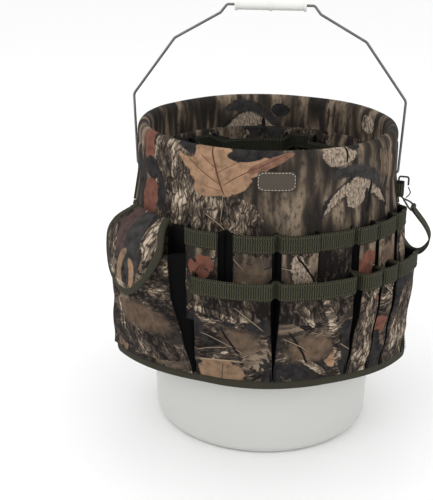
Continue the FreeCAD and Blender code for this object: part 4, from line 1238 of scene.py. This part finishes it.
def red_scrap(cloth):
    cloth.small_leaf(-0.008, 0.240, 0.013, 60.0, RED_LEAF)
    cloth.paint(
        ("oval", (0.004, 0.256, 0.012, 0.008, -25.0, 1.2), "leaf_skin", RED_LEAF),
        ("oval", (0.006, 0.214, 0.014, 0.016, 20.0, 0.7), "bark", 0.9),
    )


def blurred_twig(cloth):
    cloth.paint(
        ("oval", (0.0, 0.240, 0.024, 0.024, 0.0, 0.6, 0.5), "leaf_skin", (0.110, 0.078, 0.053)),
        ("line", ((-0.010, 0.238), (0.020, 0.228), 0.0030, 0.5, 0.5), (0.26, 0.21, 0.15)),
        ("oval", (0.0, 0.206, 0.024, 0.011, 0.0, 0.8), "bark", 0.6),
    )


def cream_chunks(cloth):
    cloth.paint(
        ("oval", (0.004, 0.246, 0.011, 0.024, 20.0, 0.9), "cream_skin"),
        ("line", ((-0.004, 0.270), (0.020, 0.236), 0.0030, 0.5, 1.5), DARK),
    )


def very_dark(cloth):
    cloth.paint(("oval", (0.0, 0.240, 0.030, 0.050, 0.0, 0.5), "bark", -0.2))


def round_tan(cloth):
    cloth.paint(("oval", (0.0, 0.254, 0.014, 0.014, 0.0, 0.5, 0.3), "leaf_skin", (0.15, 0.104, 0.073)))


def bark_piece(cloth):
    cloth.paint(("oval", (0.0, 0.170, 0.020, 0.050, 0.0, 0.7), "bark", 1.1))


def outer_pocket(node, seams, foot, mouth, depths, belly, u, v, light, share, extra, turn=0.0):
    """A pocket from its seams' and its front edges' azimuths, and its print's place on the roll."""
    area = reach(node)
    width = math.radians(area.end - area.start) * area.outer
    span = (-width / 2, area.foot, width / 2, area.top)
    seed = len(node) + int(u * 100)
    cloth = scrap_print(f"camo_{node}", u, v, light, share, seed, span, (1, 1, 2), extra, turn)
    return Pocket(node, cloth, seams, foot, mouth, depths, belly, 0.0015)


def upper_pocket(number, seams, edges, u, v, light, share, extra=None, depths=UPPER_DEPTHS):
    node = f"front_upper_pocket_{number}"
    return outer_pocket(node, seams, edges, edges, depths, 0.06, u, v, light, share, extra)


def lower_pocket(number, seams, foot, mouth, u, v, light, share, extra=None, turn=80.0):
    node = f"front_lower_pocket_{number}"
    return outer_pocket(node, seams, foot, mouth, LOWER_DEPTHS, 0.04, u, v, light, share, extra, turn)


SET_BACK = ((0.0, 0.0070), (1.0, 0.0085))
front_upper = [
    upper_pocket(1, (-27.6, -12.0), (-27.0, -14.0), 0.10, 0.90, 0.4, 0.4, red_scrap),
    upper_pocket(2, (-12.0, 7.4), (-8.2, 5.8), 0.45, 0.20, 0.5, 0.2, blurred_twig),
    upper_pocket(3, (7.4, 22.9), (9.2, 22.7), 0.81, 0.55, 0.6, 0.6, cream_chunks),
    upper_pocket(4, (22.9, 38.6), (23.2, 37.2), 1.17, 0.31, 0.1, 0.3, very_dark, SET_BACK),
    upper_pocket(5, (38.6, 49.4), (40.2, 48.6), 1.42, 0.72, 0.6, 0.5, red_scrap),
    upper_pocket(6, (49.4, 62.6), (50.4, 61.4), 1.66, 0.12, 0.5, 0.3, round_tan),
    upper_pocket(7, (62.6, 74.0), (64.0, 73.0), 1.93, 0.43, 0.6, 0.5, cream_chunks),
]
front_lower = [
    lower_pocket(1, (-24.0, 7.4), (-23.0, 7.2), (-21.6, 5.4), 0.33, 0.27, 0.35, 0.75, leaf_low),
    lower_pocket(2, (7.4, 38.2), (7.6, 37.8), (8.8, 35.6), 0.68, 0.61, 0.35, 0.7, twigs_low),
    lower_pocket(3, (38.2, 48.4), (38.4, 48.2), (39.2, 47.4), 1.02, 0.83, 0.8, 0.8, bark_piece, 0.0),
    lower_pocket(4, (48.4, 56.4), (48.6, 56.2), (49.0, 55.6), 1.31, 0.15, 0.4, 0.6),
    lower_pocket(5, (56.4, 74.5), (56.6, 74.0), (57.6, 73.0), 1.58, 0.47, 0.6, 0.6, bark_piece, 0.0),
]


def back_pocket(row, number, depths, belly):
    """A pocket of the back panel: its seams lie a little beyond its edges."""
    node = f"back_{row}_pocket_{number}"
    area = reach(node)
    edges = (area.start + 0.8, area.end - 0.8)
    seams = (area.start - 2.0, area.end + 2.0)
    foot = edges if row == "upper" else (seams[0] + 0.3, seams[1] - 0.3)
    u, v = 0.41 * number, 1.2 + 0.19 * number
    return outer_pocket(node, seams, foot, edges, depths, belly, u, v, 0.5, 0.6, None)


back_upper = [back_pocket("upper", k, UPPER_DEPTHS, 0.06) for k in range(1, 6)]
back_lower = [back_pocket("lower", k, LOWER_DEPTHS, 0.04) for k in range(1, 5)]

built = {}
for row_name, pockets, foot in (
    ("front_upper", front_upper, None),
    ("front_lower", front_lower, LOWER_FOOT),
    ("back_upper", back_upper, None),
    ("back_lower", back_lower, LOWER_FOOT),
):
    built[row_name] = [
        build_pocket(pocket, foot=foot, seed=3.1 * k + len(row_name)) for k, pocket in enumerate(pockets)
    ]
left_pocket, upper_row = built["front_upper"][:1], built["front_upper"][1:]
build_mouth_webbing("front_upper_web_left", (), left_pocket, (), (True, False))
upper_gaps = (0.85, 0.20, 0.85, 0.60, 0.75)
build_mouth_webbing("front_upper_web", ["front_upper_webbing"], upper_row, upper_gaps, (False, True))
for row_name, gaps in (
    ("front_lower", (0.40, 0.80, 0.55, 0.60)),
    ("back_upper", (0.6,) * 4),
    ("back_lower", (0.6,) * 3),
):
    build_mouth_webbing(f"{row_name}_web", [f"{row_name}_webbing"], built[row_name], gaps, (True, True))

# ---------------------------------------------------------------- build: flap pocket and its flap


def flap_pocket_marks(cloth):
    """Under the flap: a brown blur over dark sideways bark, with pale streaks at the left."""
    cloth.paint(
        ("oval", (0.0, 0.176, 0.060, 0.020, 0.0, 0.5, 0.4), "leaf_skin", (0.115, 0.076, 0.052)),
        ("oval", (0.0, 0.140, 0.070, 0.018, 0.0, 0.6), "bark", 0.3, 90.0),
        ("line", ((-0.046, 0.190), (-0.036, 0.150), 0.0050, 1.0, 1.5), "bark", 1.5),
        ("line", ((-0.034, 0.170), (-0.030, 0.146), 0.0030, 1.0, 1.5), "bark", 1.5),
    )


flap_pocket = outer_pocket(
    "flap_pocket", (-71.5, -24.0), (-71.0, -24.6), (-66.0, -31.0),
    ((0.0, 0.0050), (0.3, 0.0150), (0.7, 0.0240), (1.0, 0.0270)), 0.03,
    0.52, 1.63, 0.45, 0.6, flap_pocket_marks, 75.0,
)
build_pocket(flap_pocket, foot=LOWER_FOOT, seed=11.0, high=32)

flap_area = reach("flap_tape")
FLAP_MIDDLE = (reach("flap_pocket").start + reach("flap_pocket").end) / 2
FLAP_HALF = 0.0575
FLAP_FACE = 0.1958


FLAP_PATH = [
    (0.1655, 0.291), (0.176, 0.2855), (0.188, 0.2760),
    (FLAP_FACE, 0.260), (FLAP_FACE + 0.0004, 0.235), (FLAP_FACE - 0.0016, flap_area.foot + 0.0035),
]
FLAP_ROWS = 64
flap_stops = [Vector((radius, 0, height)) for radius, height in FLAP_PATH]
flap_line = evenly(rounded_path(flap_stops, 3), FLAP_ROWS + 1)


def flap_half_width(share, side):
    """Half width at a share of the length: narrower at the root, and round at the foot, more at its right."""
    turn, power = (0.25, 1.5) if side > 0 else (0.56, 2.15)
    shoulder = blend_between(0.60, 1.0, eased_step(share / 0.48) ** 0.8)
    if share <= turn:
        return FLAP_HALF * shoulder
    rounding = ((share - turn) / (1.004 - turn)) ** power
    return FLAP_HALF * shoulder * math.sqrt(max(0.0, 1 - rounding))


def flap_point(share, side):
    """A point of the flap. Its face is crowned, and its edges turn in towards the pocket."""
    spot = flap_line[round(share * FLAP_ROWS)]
    y = side * flap_half_width(share, side)
    lean = -4.0 * eased_step((share - 0.35) / 0.65)
    crown = 0.0030 * (1 - side * side) * eased_step(share * 2.2) * eased_step((1.05 - share) * 3)
    turn = math.degrees(math.asin(y / spot.x))
    wave = 0.0008 * ripple(turn * 2, spot.z, 0.03, 9.0) * eased_step(share * 4)
    return at(FLAP_MIDDLE + turn + lean, spot.x + crown + wave, spot.z)


def flap_marks(cloth):
    """The flap's print: a dark bough down its middle, bark at its left and leaf low in its centre."""
    cloth.paint(
        ("oval", (-0.030, 0.055, 0.026, 0.066, 0.0, 0.4), "bark", 0.45),
        ("oval", (-0.012, 0.082, 0.014, 0.034, 6.0, 0.5), "leaf_skin", (0.075, 0.048, 0.044)),
        ("oval", (0.012, 0.066, 0.015, 0.052, 12.0, 0.4), "smooth_charcoal"),
        ("oval", (0.036, 0.085, 0.014, 0.030, 10.0, 0.7), "bark", 1.6),
        ("line", ((-0.002, 0.012), (0.003, 0.062), 0.0120, 1.0, 0.6), "leaf_skin", (0.25, 0.165, 0.105)),
        ("line", ((0.020, 0.012), (0.012, 0.052), 0.0110, -1.0, 0.6), "leaf_skin", (0.28, 0.17, 0.105)),
        ("oval", (0.002, 0.006, 0.030, 0.010, 0.0, 0.6), "bark", 1.5),
    )


def build_flap():
    """The flap's cloth and the tape folded round its edge. It gives the tape's seam."""
    wide = 36
    shares = [k / FLAP_ROWS for k in range(FLAP_ROWS + 1)]
    sides = [2 * j / wide - 1 for j in range(wide + 1)]
    rows = [[flap_point(share, side) for side in sides] for share in reversed(shares)]
    cloth = scrap_print("camo_flap", 0.93, 1.11, 0.4, 0.6, extra=flap_marks)
    across = [side * FLAP_HALF for side in sides]
    piece = grid("flap_cloth", rows, cloth, flat=(across, running_length([row[wide // 2] for row in rows])))
    flat_uvs(piece, rows, across)
    finish_cloth(piece, rows, "flap", "camo_cloth", "hung", "flap", thickness=PANEL_CLOTH, offset=1.0)
    edge = [flap_point(share, -1.0) for share in shares] + [flap_point(1.0, side) for side in sides[1:-1]]
    edge = evenly(edge + [flap_point(share, 1.0) for share in reversed(shares)], 150)
    normals, inwards = [], []
    centre = flap_point(0.45, 0.0)
    for i, point in enumerate(edge):
        run = (edge[min(i + 1, len(edge) - 1)] - edge[max(i - 1, 0)]).normalized()
        normal = outward(azimuth_of(point))
        if point.z > 0.272:
            normal = (normal + Vector((0, 0, 1.2)) * eased_step((point.z - 0.268) / 0.02)).normalized()
        inward = run.cross(normal).normalized()
        if inward.dot(centre - point) < 0:
            inward = -inward
        normal = inward.cross(run).normalized()
        if normal.dot(outward(azimuth_of(point)) + Vector((0, 0, 1))) < 0:
            normal = -normal
        normals.append(normal)
        inwards.append(inward)
    middle = [p + n * 0.0012 for p, n in zip(edge, normals)]
    sections = binding_sections(middle, normals, inwards, 0.0075, 0.0012 + TAPE_PROUD + 0.0005)
    piece = tubes("flap_binding", [sections], edge_tape)
    ride_on(piece, "flap", "edge_tape", "flap_tape")
    return [(p + i * 0.0058 + n * 0.0026, n) for p, n, i in zip(middle, normals, inwards)]


def flat_uvs(piece, rows, across):
    """Gives a tapering cloth its true flat widths, so that its print isn't squeezed at its round end."""
    layer = piece.data.uv_layers["flat"]
    wide = len(rows[0])
    scale = [running_length(row)[-1] / (across[-1] - across[0]) for row in rows]
    for face in piece.data.polygons:
        for i in face.loop_indices:
            vertex = piece.data.loops[i].vertex_index
            layer.data[i].uv[0] = across[vertex % wide] * scale[vertex // wide]


flap_seam = build_flap()

# ---------------------------------------------------------------- build: lining, inner pockets, label

liner = reach("liner")


def build_liner():
    """The lining: upright inside the pail, and flaring at its top under the cover's inner hem."""
    upright, knee, knee_height, top = liner.inner + 0.0022, 0.85, 0.318, 0.337
    rows = []
    for k in range(31):
        share, radius = k / 30, upright
        if share < knee:
            height = blend_between(liner.foot, knee_height, share / knee)
        else:
            part = (share - knee) / (1.0 - knee)
            radius = blend_between(upright, upright + 0.0030, part)
            height = blend_between(knee_height, top, part)
        rows.append([at(a, radius + 0.0006 * ripple(a, height, 0.03, 6.0), height) for a in range(0, 360, 2)])
    cloth = scrap_print("camo_liner", 0.77, 2.13, 0.4, 0.4)
    piece = grid("liner_cloth", rows, cloth, closed=True)
    finish_cloth(piece, rows, "organizer", "lining_cloth", "hung", "liner", thickness=0.0012, closed=True)


build_liner()
INNER_DEPTHS = ((0.0, 0.010), (0.5, 0.019), (1.0, 0.0235))
inner_rows = []
for k in range(6):
    node = f"inner_pocket_{k + 1}"
    area = reach(node)
    edges = (area.start + 1.2, area.end - 1.2)
    cloth = scrap_print(f"camo_{node}", 0.9 + 0.43 * k, 2.4 + 0.17 * k, 0.5, 0.6)
    inner = Pocket(node, cloth, (area.start, area.end), edges, edges, INNER_DEPTHS, 0.02, 0.004)
    inner_rows.append(build_pocket(inner, sign=-1.0, back=inner_back, seed=20.0 + k, high=20))
order = sorted(inner_rows, key=lambda rows: azimuth_of(rows[0][len(rows[0]) // 2]) % 360)


def build_inner_webbing():
    """The webbing round the mouths of the inner pockets, lying on the lining between them."""
    chain = []
    for k, rows in enumerate(order):
        chain += front_of(rows)
        a, b = azimuth_of(rows[-3][-1]), azimuth_of(order[(k + 1) % len(order)][-3][0])
        gap = (b - a) % 360
        height = rows[-3][0].z
        chain += [at(a + gap * s, liner.inner - 0.0016, height) for s in (0.1, 0.4, 0.6, 0.9)]
    chain.append(chain[0])
    path = evenly(rounded_path(chain, 2), 420)
    normals = path_normals(path, -1.0)
    normals[0] = normals[-1] = (normals[1] + normals[-2]).normalized()
    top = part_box("inner_webbing")[1][2]
    base = order[0][-3][0].z
    centre = [Vector((p.x, p.y, top - WEB_WIDTH / 2 + (p.z - base) * 0.9)) for p in path]
    ribbon("inner_web", centre, normals, black_web, ["inner_webbing"])


build_inner_webbing()


def build_label():
    """A blank woven label with a stitched border, following the cover's face."""
    area = reach("blank_label")
    columns, high = 40, 20
    middle, half = (area.start + area.end) / 2, (area.end - area.start) / 2
    centre, tall = (area.foot + area.top) / 2, (area.top - area.foot) / 2
    total = ROLL_HEIGHT - COLLAR_HEM + ROLL_RUN + ROLL_HEIGHT - INNER_HEM

    def place(side, up, lift):
        square = (1 - 0.10 * up ** 4 * side ** 2) * side
        azimuth, height = middle + square * half, centre + up * tall * (1 - 0.08 * side ** 8)
        point = collar_point(azimuth, (height - COLLAR_HEM) / total)
        return point + outward(azimuth) * lift

    sides = [2 * j / columns - 1 for j in range(columns + 1)]
    rows = [[place(side, 2 * i / high - 1, 0.0009) for side in sides] for i in range(high + 1)]
    piece = grid("label_cloth", rows, label_cloth())
    finish_cloth(piece, rows, "organizer", "label_cloth", "stretched", "blank_label", thickness=0.0008)
    border = []
    steps = 120
    for k in range(steps + 1):
        turn = 2 * math.pi * k / steps
        side = max(-1.0, min(1.0, 1.25 * math.cos(turn))) * 0.94
        up = max(-1.0, min(1.0, 1.25 * math.sin(turn))) * 0.88
        border.append((place(side, up, 0.0012), outward(middle + side * half)))
    return border


def label_cloth():
    """Plain woven satin in bark brown."""
    return ribbed("label_cloth", (0.075, 0.062, 0.05), 0.0009, 0.00008, contrast=0.35, cross=0.0009)


label_seam = build_label()

# ---------------------------------------------------------------- build: strap, hanger loop

STRAP_AZIMUTH = 80.0
STRAP_WIDTH = 0.020
STRAP_PATH = [
    (0.1629, 0.276), (0.1629, 0.256), (0.176, 0.2325), (0.1905, 0.2295),
    (0.202, 0.246), (0.197, 0.262), (0.1795, 0.2824),
]
STRAP_EYE = (0.1779, 0.2843)
EYE_RADIUS = 0.0024


def strap_point(radius, across, height):
    return outward(STRAP_AZIMUTH) * radius + outward(STRAP_AZIMUTH + 90.0) * across + Vector((0, 0, height))


def build_strap():
    """The webbing strap: down from the panel's edge, round in a loop, and folded over the hook's eye."""
    path = [Vector((r, 0, z)) for r, z in STRAP_PATH]
    line = rounded_path(path, 3)
    eye = Vector((STRAP_EYE[0], 0, STRAP_EYE[1]))
    start = math.atan2(line[-1].z - eye.z, line[-1].x - eye.x)
    turns = [start + math.pi * k / 8 for k in range(1, 9)]
    fold = [eye + Vector((math.cos(turn), 0, math.sin(turn))) * EYE_RADIUS for turn in turns]
    back = (path[-2] - path[-1]).normalized()
    tail = [fold[-1] + back * step for step in (0.004, 0.009, 0.014)]
    line = evenly(line, 60) + fold + tail
    rows = []
    for k in range(7):
        across = (k / 6 - 0.5) * STRAP_WIDTH
        rows.append([strap_point(p.x, across, p.z) for p in line])
    piece = grid("tape_strap_web", rows, webbing)
    finish_cloth(piece, rows, "organizer", "webbing", "folded", "tape_strap", thickness=0.0017, offset=0.0)


def build_hanger_loop():
    """The short webbing loop that the hook hangs on."""
    low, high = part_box("hanger_loop")
    area = reach("hanger_loop")
    half, face = 0.0071, area.outer - 0.0007
    middle = (low[2] + high[2]) / 2
    stops = (
        (0.1535, -half), (0.1600, -half), (face, -half * 0.9), (face, 0.0),
        (face, half * 0.9), (0.1600, half), (0.1535, half),
    )
    line = evenly(rounded_path([Vector((radius, across, 0)) for radius, across in stops], 2), 36)
    rows = []
    for k in range(7):
        height = middle + (k / 6 - 0.5) * (high[2] - low[2])
        rows.append([strap_point(p.x, p.y, height) for p in line])
    piece = grid("hanger_loop_web", rows, webbing)
    finish_cloth(piece, rows, "organizer", "webbing", "folded", "hanger_loop", thickness=0.0012, offset=0.0)


build_strap()
build_hanger_loop()

# ---------------------------------------------------------------- stitching

label_thread = ribbed("label_thread", (0.30, 0.27, 0.22), 0.0006, 0.0001)
ride_on(stitch_mesh("stitching", seams, thread), "organizer", "edge_tape")
ride_on(stitch_mesh("flap_stitching", [flap_seam], thread), "flap", "edge_tape")
ride_on(stitch_mesh("label_stitching", [label_seam], label_thread), "organizer", "label_cloth")

# ---------------------------------------------------------------- CAD nodes that stay

KEPT = {
    "pail": pail_plastic,
    "grip": grip_plastic,
    "bail": steel,
    "snap_hook": black_steel,
    "hook_gate": black_steel,
    "loop_patch": pile,
    "hook_patch": pile,
}
for node, material in KEPT.items():
    for material_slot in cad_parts[node].material_slots:
        material_slot.link = "OBJECT"
        material_slot.material = material

# ---------------------------------------------------------------- studio


def build_floor():
    """A pale floor, wide enough to fill the view."""
    half = 6.0
    corners = [(-half, -half, 0.0), (half, -half, 0.0), (half, half, 0.0), (-half, half, 0.0)]
    material, graph = plain_material("floor_paper")
    place = graph.add("ShaderNodeTexCoord")["Object"]
    tone = graph.mix(graph.noise(place, 3.0, 3.0)[0], (0.93, 0.93, 0.93), (0.95, 0.95, 0.95))
    graph.surface(tone, 0.9)
    floor = new_piece("floor", corners, [(0, 1, 2, 3)], [(0, 0), (1, 0), (1, 1), (0, 1)], material)


def add_light(name, place, target, size, power):
    data = bpy.data.lights.new(name, "AREA")
    data.size = size
    data.energy = power
    light = bpy.data.objects.new(name, data)
    light.location = place
    light.rotation_euler = (Vector(target) - Vector(place)).to_track_quat("-Z", "Y").to_euler()
    bpy.context.scene.collection.objects.link(light)


def add_camera():
    """The camera: its place, turn round Z, downward tilt and roll."""
    data = bpy.data.cameras.new("camera")
    data.lens = 70.25
    camera = bpy.data.objects.new("camera", data)
    turn = Matrix.Rotation(math.radians(5.78), 4, "Z")
    tilt = Matrix.Rotation(math.radians(90.0 - 20.56), 4, "X")
    roll = Matrix.Rotation(math.radians(0.54), 4, "Z")
    camera.matrix_world = Matrix.Translation((0.0559, -1.1419, 0.6392)) @ turn @ tilt @ roll
    bpy.context.scene.collection.objects.link(camera)
    bpy.context.scene.camera = camera


build_floor()
world = bpy.data.worlds.new("studio")
world.use_nodes = True
world.node_tree.nodes["Background"].inputs[0].default_value = (1.0, 1.0, 1.0, 1.0)
world.node_tree.nodes["Background"].inputs[1].default_value = 1.02
bpy.context.scene.world = world
bpy.context.scene.view_settings.view_transform = "Standard"
middle_height = (cad_box[0][2] + cad_box[1][2]) / 2
add_light("key", (-1.1, -1.5, 1.9), (0, 0, middle_height), 1.2, 9.0)
add_light("fill", (1.6, -1.2, 1.2), (0, 0, middle_height), 1.4, 4.0)
add_light("top", (0.0, 0.3, 2.2), (0, 0, middle_height), 1.6, 6.0)
add_camera()
